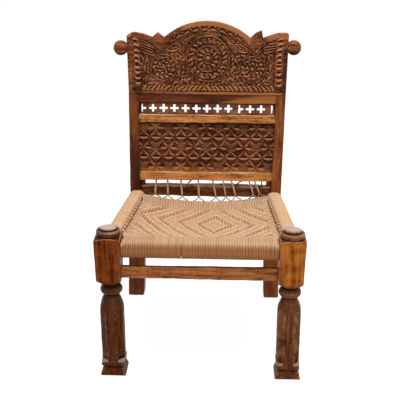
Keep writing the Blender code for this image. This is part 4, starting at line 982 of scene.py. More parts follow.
def carvedPanel(look):
    piece, u, v = newGrid("carvedPanel", *look["grid"])
    x = look["left"] + u * (look["right"] - look["left"])
    z = look["low"] + v * (look["high"] - look["low"])
    height, between = panelRelief(x, z - (look["low"] + look["high"]) / 2, look)
    flat = np.stack([x, z, z * 0], 1)
    height = height + wobble(flat, 7, 51) * 0.16 + wobble(flat, 40, 52) * 0.3 - 0.3
    # Wear and painted highlights on upward-facing cuts, grime and painted shade on downward ones; painted
    # shadow along the top under the middle rail, and the ground between the petals darker.
    worn, deep = carvedMarks(height, u, v, **look["marks"])
    deep = deep + 0.35 * fade(186, 203, z) + 0.6 * fade(200, 206, z) + 0.40 * between
    gold = 0.7 * fade(76, 50, z) + 0.6 * fade(176, 195, z) * fade(-40, -150, x)
    pale = 0.5 * fade(62, 46, z)
    points = np.stack([x * 0.001, look["front"] + 0.0008 - height * 0.001, z * 0.001], 1)
    setPoints(piece, points, worn=worn, deep=deep, gold=gold, pale=pale)
    thicken(piece, look["back"], 0.0)
    editMode(piece)
    bpy.ops.mesh.select_all(action="DESELECT")
    bpy.ops.object.mode_set(mode="OBJECT")
    rear = max(piece.data.polygons, key=lambda face: len(face.vertices))
    rear.select = True
    bpy.ops.object.mode_set(mode="EDIT")
    for thickness, depth in look["fielding"]:
        bpy.ops.mesh.inset(thickness=thickness, depth=depth)
    bpy.ops.object.mode_set(mode="OBJECT")
    setPoints(piece, placed(getPoints(piece), backPlace))
    bpy.ops.object.shade_smooth_by_angle(angle=math.radians(45))
    return piece


stripShape = {"left": -0.2176, "right": 0.2226, "low": 0.2325, "high": 0.2755, "front": 0.0113, "back": 0.0207,
              "count": 13, "pitch": 0.03486, "width": 0.0275, "tall": 0.0262, "arm": 0.0080, "first": -0.2074,
              "centre": 0.2525, "ease": 0.0009, "seed": 12, "missing": {0: (2,), 9: (2,), 12: (0, 2)},
              "slim": {0: {1: 0.55, 3: 0.55}, 9: {1: 0.6}, 12: {1: 0.7, 3: 0.5}}}


def crossOutline(cx, cz, look, dice, number):
    # A cross with rounded arm ends, run anticlockwise, each a little unlike the next and some not cut through.
    half = look["arm"] / 2
    reaches = [look["width"] / 2, look["tall"] / 2, look["width"] / 2, look["tall"] / 2]
    reaches = [r * dice.uniform(0.93, 1.05) for r in reaches]
    shift = dice.uniform(-0.0006, 0.0006, 2)
    missing, slim = look["missing"].get(number, ()), look["slim"].get(number, {})
    points = []
    for k, reach in enumerate(reaches):
        wide = half * dice.uniform(0.90, 1.0)
        if k in missing:
            local = [(half * 0.7, -half * 0.7), (half * 0.7, half * 0.7)]
        else:
            wide = wide * slim.get(k, 1.0)
            soft = wide * 0.5
            local = [(half * 1.02, -wide)]
            for step in range(7):
                turn = -math.pi / 2 + math.pi * step / 6
                local.append((max(reach - soft, half) + soft * math.cos(turn), wide * math.sin(turn)))
            local.append((half * 1.02, wide))
        for along, across in local:
            a = k * math.pi / 2
            points.append((cx + shift[0] + along * math.cos(a) - across * math.sin(a),
                           cz + shift[1] + along * math.sin(a) + across * math.cos(a)))
    return points


def piercedStrip(look):
    dice = np.random.default_rng(look["seed"])
    curve = bpy.data.curves.new("piercedStrip", "CURVE")
    curve.dimensions = "2D"
    curve.fill_mode = "BOTH"
    curve.extrude = (look["back"] - look["front"]) / 2 - look["ease"]
    curve.bevel_depth = look["ease"]
    curve.bevel_resolution = 2
    curve.offset = -look["ease"]
    loops = [[(look["left"], look["low"]), (look["right"], look["low"]),
              (look["right"], look["high"]), (look["left"], look["high"])]]
    for k in range(look["count"]):
        loops.append(crossOutline(look["first"] + k * look["pitch"], look["centre"], look, dice, k))
    for loop in loops:
        spline = curve.splines.new("POLY")
        spline.points.add(len(loop) - 1)
        spline.use_cyclic_u = True
        for slot, (x, z) in zip(spline.points, loop):
            slot.co = (x, z, 0, 1)
    piece = bpy.data.objects.new("piercedStrip", curve)
    bpy.context.scene.collection.objects.link(piece)
    pick(piece)
    bpy.ops.object.convert(target="MESH")
    piece = bpy.context.object
    points = getPoints(piece)
    depth = (look["front"] + look["back"]) / 2 - points[:, 2]
    worn = fade(0.0032, 0.0046, points[:, 2]) * 0.55
    # Painted shadow along the top under the upper rail, and darker towards both ends.
    deep = 0.95 * fade(0.2640, 0.2705, points[:, 1])
    deep = deep + 0.8 * fade(0.2075, 0.2165, np.abs(points[:, 0] - 0.0025))
    setPoints(piece, placed(np.stack([points[:, 0], depth, points[:, 1]], 1), backPlace), worn=worn, deep=deep)
    closeUp(piece, 40)
    return piece


# The worn colour also stands for the carving's painted highlight, and the deep colour for its painted shade.
carvedLook = {"grain": (7, 60, 60), "rings": 34.0, "patch": 16.0, "dark": (0.045, 0.011, 0.003),
              "mid": (0.19, 0.055, 0.017), "light": (0.38, 0.13, 0.043), "worn": (0.62, 0.265, 0.128),
              "deep": (0.010, 0.003, 0.002), "wearAndLightLevel": 0.85, "grimeAndShadeLevel": 0.9, "dust": 0.06, "rough": 0.5,
              "gloss": 0.10, "gold": (0.46, 0.17, 0.055), "pale": (0.60, 0.40, 0.27)}
panelLook = dict(carvedLook, dark=(0.035, 0.008, 0.002), mid=(0.122, 0.033, 0.011),
                 light=(0.255, 0.083, 0.030), worn=(0.53, 0.212, 0.108))
stripLook = dict(carvedLook, wearAndLightLevel=0.6, mid=(0.13, 0.038, 0.016), light=(0.25, 0.085, 0.035))
carvedWood = woodFinish("carvedWood", carvedLook)
panelWood = woodFinish("panelWood", panelLook)
stripWood = woodFinish("stripWood", stripLook)
finishPiece(crestBoard(crestShape), carvedWood, "carved_wood", "crest_board")
print("stage: crest")
finishPiece(carvedPanel(panelShape), panelWood, "carved_wood", "carved_panel")
finishPiece(piercedStrip(stripShape), stripWood, "carved_wood", "pierced_strip")
print("stage: panel and pierced strip")


# Rails of the back, stretchers and the bare rear seat rail

goldenLook = {"grain": (5, 70, 70), "rings": 26.0, "patch": 9.0, "dark": (0.19, 0.058, 0.012),
              "mid": (0.64, 0.245, 0.062), "light": (0.86, 0.40, 0.12), "worn": (0.88, 0.52, 0.24),
              "deep": (0.05, 0.015, 0.006), "wearAndLightLevel": 0.5, "grimeAndShadeLevel": 0.8, "dust": 0.04, "rough": 0.5,
              "gloss": 0.12, "pale": (0.80, 0.56, 0.38), "stains": 0.9, "streaks": 1.0}
upperLook = dict(goldenLook, dark=(0.035, 0.007, 0.002), mid=(0.108, 0.022, 0.007), light=(0.20, 0.050, 0.016),
                 worn=(0.4, 0.16, 0.07), patch=6.0, gold=(0.47, 0.17, 0.045))
darkLook = {"grain": (5, 70, 70), "rings": 24.0, "patch": 12.0, "dark": (0.05, 0.012, 0.003),
            "mid": (0.15, 0.042, 0.011), "light": (0.28, 0.09, 0.028), "worn": (0.50, 0.33, 0.21),
            "deep": (0.02, 0.007, 0.003), "wearAndLightLevel": 0.8, "grimeAndShadeLevel": 0.5, "dust": 0.08, "rough": 0.6, "gloss": 0.1,
            "pale": (0.52, 0.38, 0.28)}
stretcherLook = dict(goldenLook, dark=(0.12, 0.034, 0.008), mid=(0.44, 0.135, 0.036), light=(0.62, 0.23, 0.075))
goldenWood = woodFinish("goldenWood", goldenLook)
upperWood = woodFinish("upperWood", upperLook)
darkWood = woodFinish("darkWood", darkLook)
stretcherWood = woodFinish("stretcherWood", stretcherLook)

stileLean = {"inner": 0.006, "outer": 0.0035, "over": 0.2998}
backBar = {"wood": goldenWood, "half": 0.2172, "depth": 0.016, "width": 0.028, "gap": 0.0003, "ease": 0.0022,
           "upward": backPlace.to_3x3() @ Vector((0, 0, 1))}
backRails = {
    "lowerBackRail": dict(backBar, node="lower_back_rail", low=0.0165, high=0.0440, seed=3, paleTop=0.6,
                          groove=0.54),
    "middleBackRail": dict(backBar, node="middle_back_rail", low=0.2075, high=0.2340, seed=5, paleTop=0.8,
                           groove=0.72),
    "upperBackRail": dict(backBar, node="upper_back_rail", low=0.2715, high=0.2998, seed=8, wood=upperWood,
                          goldFrom=0.02)}
for name, look in backRails.items():
    mid = (look["low"] + look["high"]) / 2
    aside = stileLean["inner"] * mid / stileLean["over"]
    ends = [backPlace @ Vector((x, look["depth"], mid)) for x in (-look["half"], look["half"] + aside)]
    rail = hewnBar(name, ends, dict(look, height=look["high"] - look["low"] - look["gap"]))
    finishPiece(rail, look["wood"], "rail_wood", look["node"])

stretcherBar = {"wood": stretcherWood, "slot": "rail_wood", "width": 0.022, "height": 0.033, "ease": 0.002}
seatBar = {"wood": darkWood, "slot": "dark_wood", "width": 0.0385, "height": 0.0385, "ease": 0.009, "along": 24}
bareBar = {"wood": darkWood, "slot": "dark_wood", "width": 0.035, "height": 0.036, "ease": 0.0040,
           "rough": 0.0007, "paleTop": 1.1}
bars = {
    "frontStretcher": dict(stretcherBar, node="stretcher_front", seed=11, width=0.013, height=0.035,
                           ends=((-0.2180, 0.0305, 0.3085), (0.2112, 0.0305, 0.3085))),
    "rearStretcher": dict(stretcherBar, node="stretcher_rear", seed=13,
                          ends=((-0.2045, 0.5435, 0.3095), (0.2045, 0.5435, 0.3095))),
    "leftStretcher": dict(stretcherBar, node="stretcher_left", seed=15,
                          ends=((-0.245, 0.0698, 0.3095), (-0.2266, 0.5212, 0.3095))),
    "rightStretcher": dict(stretcherBar, node="stretcher_right", seed=17,
                           ends=((0.245, 0.0698, 0.3095), (0.2266, 0.5212, 0.3095))),
    "rearSeatRail": dict(bareBar, node="seat_rail_rear", seed=21,
                         ends=((-0.2172, 0.55, 0.376), (0.2172, 0.55, 0.376))),
    "frontSeatRail": dict(seatBar, node="seat_rail_front", seed=23,
                          ends=((-0.2105, 0.034, 0.378), (0.2105, 0.034, 0.378))),
    "leftSeatRail": dict(seatBar, node="seat_rail_left", seed=25,
                         ends=((-0.2570, 0.0700, 0.364), (-0.2263, 0.5215, 0.357))),
    "rightSeatRail": dict(seatBar, node="seat_rail_right", seed=27,
                          ends=((0.2550, 0.0700, 0.364), (0.2263, 0.5215, 0.357)))}
for name, look in bars.items():
    ends = [np.array(p) + (0, frontY, 0) for p in look["ends"]]
    finishPiece(hewnBar(name, ends, look), look["wood"], look["slot"], look["node"])
print("stage: rails and stretchers")


# Front legs: turned, square and octagonal lengths of one stock

legShape = {"x": 0.245, "y": 0.035, "around": 112, "lean": (-0.0035, 0.001), "toe": (0.0020, 0.0014),
            "heights": (0.0, 0.002, 0.0235, 0.0285, 0.040, 0.048, 0.186, 0.240, 0.274, 0.2935, 0.4050, 0.4140,
                        0.430, 0.442),
            "rows": (2, 14, 4, 10, 22, 54, 38, 26, 22, 44, 18, 18, 22),
            "footTop": 0.0235, "footSide": ([0, 0.002, 0.008, 0.0235], [0.0338, 0.0356, 0.0336, 0.0285]),
            "grooveTop": 0.0285, "groove": 0.0265, "beltTop": 0.040, "belt": 0.0320, "beltSwell": 0.0018,
            "shaftTop": 0.242, "octagon": 0.0318, "stopFrom": 0.0405, "stopRise": 0.0095,
            "domeFrom": 0.186, "neckTop": 0.2405, "dome": (0.0195, 0.0155),
            "beadTop": 0.274, "beadAt": (0.2560, 0.0132), "bead": (0.0185, 0.0122),
            "pommelTop": 0.2955, "pommelRise": 0.0195, "pommel": (0.0205, 0.0300),
            "block": 0.035, "blockTop": (0.4060, 0.4085), "slant": (0.007, 0.022),
            "taper": ([0.285, 0.404], [0.0030, -0.0005]), "innerTaper": ([0.285, 0.375], [0.0045, 0.0]),
            "capRise": 0.006, "cap": (0.0505, 0.0180), "hoopTop": 0.430, "hoop": (0.0285, 0.0042),
            "buttonRise": 0.012, "buttonBrim": 0.3, "button": (0.0220, 0.0240), "crown": (0.70, 1.0),
            # facets: painted light on the shaft's diagonal facets and painted shade on the left leg's inner
            # ones, given as (lit, dim) for the left and the right leg.
            "facets": ((0.55, 0.35), (0.72, 0.0)),
            # Pale bands: wear at the belt's top and the foot's bottom, wear and a painted highlight on the
            # button, and painted highlights on the ring's top and on the bead.
            "rubbedAndLit": (((0.0375, 0.0395, 0.0402, 0.0412), 0.40), ((0.4330, 0.4370), 0.50),
                       ((0.4375, 0.4410), 0.45), ((0.4220, 0.4260, 0.4298, 0.4305), 0.45),
                       ((0.2530, 0.2580, 0.2610, 0.2650), 0.32), ((0.0045, 0.001), 0.60))}


def legRadius(theta, z, side, look):
    # The least of a square, an octagon and a turned outline. The other two values are 0 along the block's top
    # edge and along the arches where the shaft's facets end in the dome.
    far, power = 0.2, 90.0
    c, s = np.abs(np.cos(theta)), np.abs(np.sin(theta))
    straight, diagonal = np.maximum(c, s), (c + s) / math.sqrt(2)
    top = look["blockTop"][side > 0]
    capTop = top + look["capRise"]
    block = (z >= look["beadTop"]) & (z < capTop + 0.0005)

    def round01(t):
        return np.sqrt(np.clip(1 - t ** 2, 0, 1))

    beltMid, beltHalf = (look["beltTop"] + look["grooveTop"]) / 2, (look["beltTop"] - look["grooveTop"]) / 2
    belt = look["belt"] - look["beltSwell"] * ((z - beltMid) / beltHalf) ** 2
    taper = np.interp(z, *look["taper"]) * fade(0.6, 0.75, np.clip(np.cos(theta) * side, 0, 1))
    if side < 0:
        taper = taper + np.interp(z, *look["innerTaper"]) * fade(0.6, 0.75, np.cos(theta))
    square = np.select([z < look["footTop"], z < look["grooveTop"], z < look["beltTop"], z < look["shaftTop"],
                        block],
                       [np.interp(z, *look["footSide"]), look["groove"], belt, look["octagon"],
                        look["block"] - taper], far)

    grow = np.clip((z - look["stopFrom"]) / look["stopRise"], 0, 1)
    stop = look["octagon"] * (math.sqrt(2) + (1 - math.sqrt(2)) * grow)
    octagon = np.where((z >= look["beltTop"]) & (z < look["shaftTop"]), stop, far)

    up = np.clip((z - look["domeFrom"]) / (look["neckTop"] - look["domeFrom"]), 0, 1)
    dome = look["dome"][0] + look["dome"][1] * (1 - up ** 1.6) ** 0.8
    bead = look["bead"][0] + look["bead"][1] * round01((z - look["beadAt"][0]) / look["beadAt"][1])
    rise = np.clip((z - look["beadTop"]) / look["pommelRise"], 0, 1)
    pommel = look["pommel"][0] + look["pommel"][1] * rise ** 0.75
    fall = np.clip((z - top) / look["capRise"], 0, 1)
    cap = look["cap"][0] - look["cap"][1] * fall ** 1.2
    hoop = look["hoop"][0] + look["hoop"][1] * round01(np.interp(z, [capTop, look["hoopTop"]], [-1, 1]))
    k, brim = np.clip((z - look["hoopTop"]) / look["buttonRise"], 0, 1), look["buttonBrim"]
    under, over = look["button"]
    button = np.where(k > brim, over * round01((k - brim) / (1 - brim)) ** 0.9,
                      under + (over - under) * round01((k - brim) / brim))
    turned = np.select([z < look["domeFrom"], z < look["neckTop"], z < look["beadTop"], z < look["pommelTop"],
                        z < top, z < capTop, z < look["hoopTop"]],
                       [far, dome, bead, pommel, far, cap, hoop], button)

    radius = ((square / straight) ** -power + (octagon / diagonal) ** -power + turned ** -power) ** (-1 / power)
    if side > 0:
        # The outer front corner of this block is worn away at a slant.
        slope, run = look["slant"]
        normal = np.array([slope, -run]) / math.hypot(slope, run)
        reach = normal @ np.array([look["block"] - run, -look["block"]])
        facing = np.cos(theta) * normal[0] + np.sin(theta) * normal[1]
        plane = np.where(facing > 0.05, reach / np.maximum(facing, 0.05), far)
        radius = np.where(block, (radius ** -power + plane ** -power) ** (-1 / power), radius)
    edge = np.where(z < capTop, cap - square / straight, -0.02)
    arch = np.where(z < look["domeFrom"], -0.02, look["octagon"] / np.maximum(straight, diagonal) - dome)
    return radius, edge, arch


def legMarks(theta, z, side, look, radius, edge, arch, order, columns):
    # Wear on the arrises and ledges, grime in the hollows, pale lines along the rubbed edges, painted
    # highlights on the bead, the ring's top and the block's top edge, and painted light and shade on the
    # shaft's diagonal facets.
    field = radius[order].reshape(-1, columns)
    ridge = field - (np.roll(field, 3, 1) + np.roll(field, -3, 1)) / 2
    ledge = field - (np.roll(field, 3, 0) + np.roll(field, -3, 0)) / 2
    worn, deep = np.empty(len(z)), np.empty(len(z))
    worn[order] = np.clip(ridge / 0.0017, 0, 0.70).ravel() + np.clip(ledge / 0.006, 0, 0.4).ravel()
    deep[order] = np.clip(-ledge / 0.003, 0, 1).ravel()
    slanting = np.abs(np.sin(2 * theta))
    outward = np.cos(theta) * side
    # Painted light on the shaft's diagonal facets, and painted shade on the inward ones of the left leg.
    facet = fade(0.050, 0.054, z) * fade(0.0, -0.0006, arch) * fade(0.72, 0.76, slanting)
    lit, dim = look["facets"][side > 0]
    worn = worn + facet * np.where(outward > 0, lit, lit - 0.1 if side > 0 else 0.0)
    deep = deep + facet * np.where(outward < 0, dim, 0.0)
    pale = 0.55 * band(z, 0.0400, 0.0415, 0.0485, 0.0510) * fade(0.55, 0.80, slanting)
    # The pale bands: wear, and painted highlights on the bead, the ring and the button.
    for place, strength in look["rubbedAndLit"]:
        pale = pale + strength * (band(z, *place) if len(place) == 4 else fade(*place, z))
    # A painted highlight along the block's lit top edge.
    pale = pale + 0.62 * np.exp(-((edge + 0.0022) / 0.0026) ** 2)
    pale = pale + 0.40 * np.exp(-((arch + 0.0004) / 0.0005) ** 2) * (z < 0.22)
    block = fade(0.280, 0.296, z) * fade(-0.0012, 0.0006, edge)
    if side > 0:
        # The slant's long edge, rubbed pale with a dark line behind it, and the ring in the block's colour.
        across, front = radius * np.cos(theta), radius * np.sin(theta)
        onFace = (front < -0.026) & (z > 0.285) & (z < 0.402)
        worn = worn + 0.7 * np.exp(-((across - 0.013) / 0.0012) ** 2) * onFace
        deep = deep + 0.6 * np.exp(-((across - 0.0165) / 0.0016) ** 2) * onFace
        block = block + 0.45 * band(z, 0.4140, 0.4160, 0.4255, 0.4280)
    turned = fade(-0.0002, 0.0008, arch) * fade(0.280, 0.276, z) + fade(0.4105, 0.4125, z)
    return {"worn": worn, "deep": deep, "pale": pale, "turned": turned, "block": block}


def frontLeg(side, seed, look):
    zs = []
    for low, high, count in zip(look["heights"], look["heights"][1:], look["rows"]):
        zs += list(np.linspace(low, high - 1e-5, count, endpoint=count > 2 and high - low < 0.006))
    zs = np.array(zs + [look["heights"][-1]])
    piece, u, v = newGrid("frontLegLeft" if side < 0 else "frontLegRight", look["around"], len(zs) - 1)
    z = np.interp(v, np.linspace(0, 1, len(zs)), zs)
    theta = u * 2 * math.pi
    radius, edge, arch = legRadius(theta, z, side, look)
    radius = np.maximum(radius, 0.0003)
    lean = look["lean"][side > 0] * fade(0.258, 0.296, z) + look["toe"][side > 0] * fade(0.22, 0.0, z)
    lower = (look["crown"][side > 0] - 1) * np.maximum(z - look["hoopTop"], 0)
    out = np.stack([np.cos(theta), np.sin(theta), theta * 0], 1)
    axis = np.stack([side * look["x"] + lean, frontY + look["y"] + z * 0, z + lower], 1)
    points = axis + out * radius[:, None]
    uneven = wobble(points, 0.05, seed) * 0.00045 + wobble(points, 0.014, seed + 1) * 0.00016
    points = points + out * (uneven * (radius > 0.004) * (z > 0.001))[:, None]
    marks = legMarks(theta, z, side, look, radius, edge, arch, *inRows(u, v))
    marks["worn"] = marks["worn"] * (0.75 + 0.4 * wobble(points, 0.02, seed + 2))
    setPoints(piece, points, **marks)
    closeUp(piece, 24)
    return piece


def legFinish(name, look):
    # The shaft's dark polish gives way to the block's own colour where hands and knees rub it.
    def rubbedBlock(wood, here, dark):
        drawn = wood.node("Mapping", None, {"Vector": here, "Scale": (62, 62, 4)})
        fibre = wood.noise(drawn, 1.6, 5.0, 0.6)
        stains = wood.noise(here, 34.0, 4.0, 0.6)
        shade = (fibre - 0.5) * 1.7 + (stains - 0.5) * 1.2 + 0.5
        tones = list(zip((0.2, 0.5, 0.8), look["blockTones"]))
        colour = wood.node("ValToRGB", {"stops": tones}, {"Fac": shade})
        pits = wood.noise(here, 210.0, 2.0, 0.5).between(0.63, 0.72)
        colour = wood.blend(colour, look["pits"], pits * 0.7)
        colour = wood.blend(colour, look["pits"], wood.attribute("deep").between(0.1, 0.9) * 0.7)
        colour = wood.blend(colour, look["worn"], wood.attribute("worn").between(0.2, 0.8) * 0.35)
        return wood.blend(dark, colour, wood.attribute("block"))

    return woodFinish(name, look, rubbedBlock)


legLook = {"grain": (60, 60, 5), "rings": 22.0, "patch": 14.0, "dark": (0.035, 0.009, 0.003),
           "mid": (0.105, 0.029, 0.007), "light": (0.19, 0.060, 0.018), "worn": (0.26, 0.104, 0.040),
           "deep": (0.014, 0.005, 0.003), "wearAndLightLevel": 0.8, "grimeAndShadeLevel": 0.8, "dust": 0.05, "rough": 0.36,
           "gloss": 0.03, "pale": (0.66, 0.50, 0.41), "streaks": 0.45, "stains": 0.8, "turned": 0.85,
           "polish": 0.16,
           "blockTones": [(0.07, 0.014, 0.002), (0.22, 0.046, 0.005), (0.34, 0.090, 0.012)],
           "pits": (0.02, 0.006, 0.002)}
rightLook = dict(legLook, mid=(0.158, 0.047, 0.015), light=(0.29, 0.104, 0.038), worn=(0.32, 0.150, 0.066),
                 blockTones=[(0.18, 0.040, 0.005), (0.50, 0.145, 0.020), (0.66, 0.23, 0.042)])
finishPiece(frontLeg(-1, 31, legShape), legFinish("leftLegWood", legLook), "leg_wood", "front_leg_left")
finishPiece(frontLeg(1, 37, legShape), legFinish("rightLegWood", rightLook), "leg_wood", "front_leg_right")
print("stage: front legs")


# Rear posts: splayed square legs that slim into leaning stiles

postShape = {"legWidth": 0.0485, "legDepth": 0.045, "footX": 0.2338, "seatX": 0.2245, "legY": 0.5435,
             "stile": 0.032, "stileX": 0.233, "shoulder": 0.360, "rise": -0.026, "top": 0.2998,
             "depth": 0.016, "ease": 0.0028, "toe": 0.010,
             "foot": {-1: (-0.0022, 0.0045), 1: (-0.0050, 0.0020)},
             "hipX": 0.2100, "hipY": 0.5560, "hipRun": (0.352, 0.4105),
             "hip": {"width": 0.0185, "height": 0.017, "ease": 0.003, "upward": (1, 0, 0), "around": 16,
                     "along": 24}}


def rearPost(side, seed, look):
    name = "rearPostLeft" if side < 0 else "rearPostRight"
    legRows = np.concatenate([[0, 0.003], np.linspace(0.006, look["shoulder"], 70)])
    stileRows = np.concatenate([np.linspace(look["rise"], look["top"] - 0.001, 64), [look["top"]]])
    count = len(legRows) + len(stileRows)
    piece, u, v = newGrid(name, 40, count - 1)
    row = np.rint(v * (count - 1)).astype(int)
    isLeg = row < len(legRows)
    z = legRows[np.minimum(row, len(legRows) - 1)]
    h = stileRows[np.maximum(row - len(legRows), 0)]
    ease = np.full_like(z, look["ease"])
    tuck = 0.004 * np.exp(-z / 0.0015)
    shift, wider = [part * fade(0.36, 0.31, z) for part in look["foot"][side]]
    a, b, corner = ring(u, (look["legWidth"] + wider) / 2 - tuck, look["legDepth"] / 2 - tuck, ease)
    middle = look["footX"] + (look["seatX"] - look["footX"]) * z / look["shoulder"]
    toe = look["toe"] * fade(0.30, 0.0, z) * fade(0.0, -0.015, b)
    leg = np.stack([side * middle + shift + a, frontY + look["legY"] + b - toe, z], 1)
    lean = np.clip(h / stileLean["over"], 0, 1) * (side > 0)
    slim = lean * (stileLean["inner"] - stileLean["outer"]) / 2
    a, b, corner = ring(u, look["stile"] / 2 - slim, look["stile"] / 2, ease * 0.8)
    lean = lean * (stileLean["inner"] + stileLean["outer"]) / 2
    stile = placed(np.stack([side * look["stileX"] + lean + a, look["depth"] + b, h], 1), backPlace)
    points = np.where(isLeg[:, None], leg, stile)
    bulge = wobble(points, 0.06, seed) * 0.0005
    points = points + np.stack([np.sign(a) * bulge, np.sign(b) * bulge, bulge * 0], 1) * 0.7
    points[:, 2] = np.maximum(points[:, 2], 0)
    worn = corner * (0.55 + 0.5 * wobble(points, 0.03, seed + 1)) + fade(0.010, 0.002, points[:, 2]) * 0.4
    # Painted light lifts the leg below the seat out of the shade under it; the upper stile is golden.
    gold = np.where(isLeg, 0.45, fade(0.08, 0.20, h) * 0.4)
    deep = np.where(isLeg, 0.0, fade(0.13, 0.02, h) * 0.75) * (side < 0)
    stained = 0.8 + 0.5 * wobble(points, 0.04, seed + 3)
    deep = deep + np.where(isLeg, 0.0, 0.75 * fade(0.0092, 0.0140, a) * stained)
    setPoints(piece, points, worn=worn, deep=deep, gold=gold)
    closeUp(piece, 50)
    # What is left of the leg's width behind the rear rail.
    ends = [(side * look["hipX"], frontY + look["hipY"], height) for height in look["hipRun"]]
    pick(piece, hewnBar("hip", ends, dict(look["hip"], seed=seed + 5)))
    bpy.ops.object.join()
    return piece


postLook = {"grain": (60, 60, 5), "rings": 24.0, "patch": 10.0, "dark": (0.04, 0.009, 0.002),
            "mid": (0.125, 0.028, 0.006), "light": (0.24, 0.070, 0.018), "worn": (0.46, 0.20, 0.09),
            "deep": (0.02, 0.006, 0.003), "wearAndLightLevel": 0.5, "grimeAndShadeLevel": 0.6, "dust": 0.03, "rough": 0.45,
            "gloss": 0.12, "gold": (0.34, 0.095, 0.020)}
rightPost = dict(postLook, mid=(0.24, 0.062, 0.012), light=(0.40, 0.125, 0.030), dark=(0.09, 0.021, 0.004))
finishPiece(rearPost(-1, 61, postShape), woodFinish("leftPostWood", postLook), "leg_wood", "rear_post_left")
finishPiece(rearPost(1, 67, postShape), woodFinish("rightPostWood", rightPost), "leg_wood", "rear_post_right")
print("stage: rear posts")


# Pegs through the joints, their ends a little proud

pegLook = {"grain": (160, 160, 160), "rings": 14.0, "patch": 60.0, "dark": (0.04, 0.015, 0.006),
           "mid": (0.14, 0.06, 0.028), "light": (0.24, 0.11, 0.05), "worn": (0.4, 0.24, 0.13),
           "deep": (0.02, 0.008, 0.004), "wearAndLightLevel": 0.4, "grimeAndShadeLevel": 0.4, "dust": 0.1, "rough": 0.6, "gloss": 0.3}
pegWood = woodFinish("pegWood", pegLook)
for node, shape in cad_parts.items():
    if node.startswith("peg_"):
        shape.data.materials.clear()
        shape.data.materials.append(pegWood)
print("stage: pegs")


# Rope: strands woven over and under, wound on the rails and looped round a cord at the rear edge

seatShape = {"half": 0.210, "warps": 98, "wefts": 68, "weaveFront": 0.130, "weaveRear": 0.416, "rear": 0.482,
             "frontRail": (0.034, 0.378), "sideZ": 0.364, "wrap": 0.02175, "corner": 0.0055,
             "sideCorner": 0.0140, "turns": 107, "rolls": (0.0728, 0.5182), "spread": (0.0105, 0.0085),
             "frontEnd": 0.0706, "frontHalf": 0.2097, "clear": 0.0243, "bare": 0.007,
             "edge": 0.058, "top": 0.402, "layer": 0.004, "fall": (0.141, 0.014), "hollow": (0.236, 0.026),
             "dip": 0.0030, "sink": 0.007, "edgeY": 0.4912, "loop": 0.0034, "pair": 0.0009,
             "middle": (0.035, 0.272), "tilt": 0.2, "floats": (-1, -1, 1, -1, -1, 1, 1), "block": (2, 3),
             "margin": 0.018, "lift": 0.0021, "crease": 0.0014, "uneven": 0.00018,
             "group": 6, "plain": 14, "slit": -0.052, "gather": 0.42}
laceShape = {"places": (-0.1640, -0.1265, -0.0825, -0.0245, 0.0225, 0.0575, 0.0845, 0.1430, 0.1610),
             "leans": (-0.001, 0.003, 0.006, 0.003, 0.011, 0.009, 0.014, 0.013, 0.015),
             "fork": 0.70, "left": 0.020, "right": 0.015, "cord": 0.0036, "edgeCord": 0.009, "gap": 0.0003,
             "entry": (0.010, 0.0165), "leave": (0.030, 0.0285), "step": 0.0022, "endWidth": 0.0042,
             "ends": (((-0.0455, 0.012, 0.0160), (-0.0539, 0.008, 0.0094), (-0.0641, 0.005, -0.0045)),
                      ((0.1205, 0.012, 0.0160), (0.1110, 0.007, 0.0115), (0.1009, 0.004, 0.0016),
                       (0.1035, 0.003, -0.0081), (0.1087, 0.002, -0.0180)),
                      ((0.1850, 0.012, 0.0160), (0.1846, 0.009, 0.0087), (0.1849, 0.007, -0.0024)))}


railLine = {"x": 0.245, "front": 0.07, "rear": 0.6, "run": 0.451, "toeIn": 0.0202, "length": 0.4515}


def sideRailX(y):
    front = railLine["front"]
    return railLine["x"] - (np.clip(y, front, railLine["rear"]) - front) / railLine["run"] * railLine["toeIn"]


def alongRail(y):
    return np.clip((y - railLine["front"]) / railLine["length"], 0, 1)


def halfWidth(y):
    return np.where(y <= seatShape["frontEnd"], seatShape["frontHalf"], sideRailX(y) - seatShape["clear"])


def matHalf(y):
    return halfWidth(y) - seatShape["bare"] * fade(0.078, 0.125, y) * fade(0.478, 0.450, y)


def spread(side, y):
    # The side rails stand a little wider apart in front than the solids do.
    return 0.0015 + seatShape["spread"][side > 0] * (1 - alongRail(y))


def skew(u, y):
    return np.where(u < 0, -spread(-1, y), spread(1, y)) * u * u * fade(0.064, 0.085, y)


def sinkAt(y):
    # The seat is lower behind than in front.
    return seatShape["sink"] * alongRail(y)


def matMiddle(u, y):
    # Height of the mat's middle layer: it falls from the front rail and hollows between the side rails.
    look = seatShape
    run = np.clip(y - look["edge"], 0, None)
    fall, hollow = [np.sin(np.minimum(1, run / look[key][0]) * math.pi / 2) for key in ("fall", "hollow")]
    hollow = hollow * (1 - 0.15 * fade(0.30, 0.48, y))
    dip = look["dip"] * fade(0.84, 1.0, np.abs(u)) * fade(0.08, 0.13, y) * fade(0.475, 0.44, y)
    top = look["top"] - look["fall"][1] * fall - look["layer"]
    return top - look["hollow"][1] * (1 - u * u) * hollow - dip - sinkAt(y) - look["layer"]


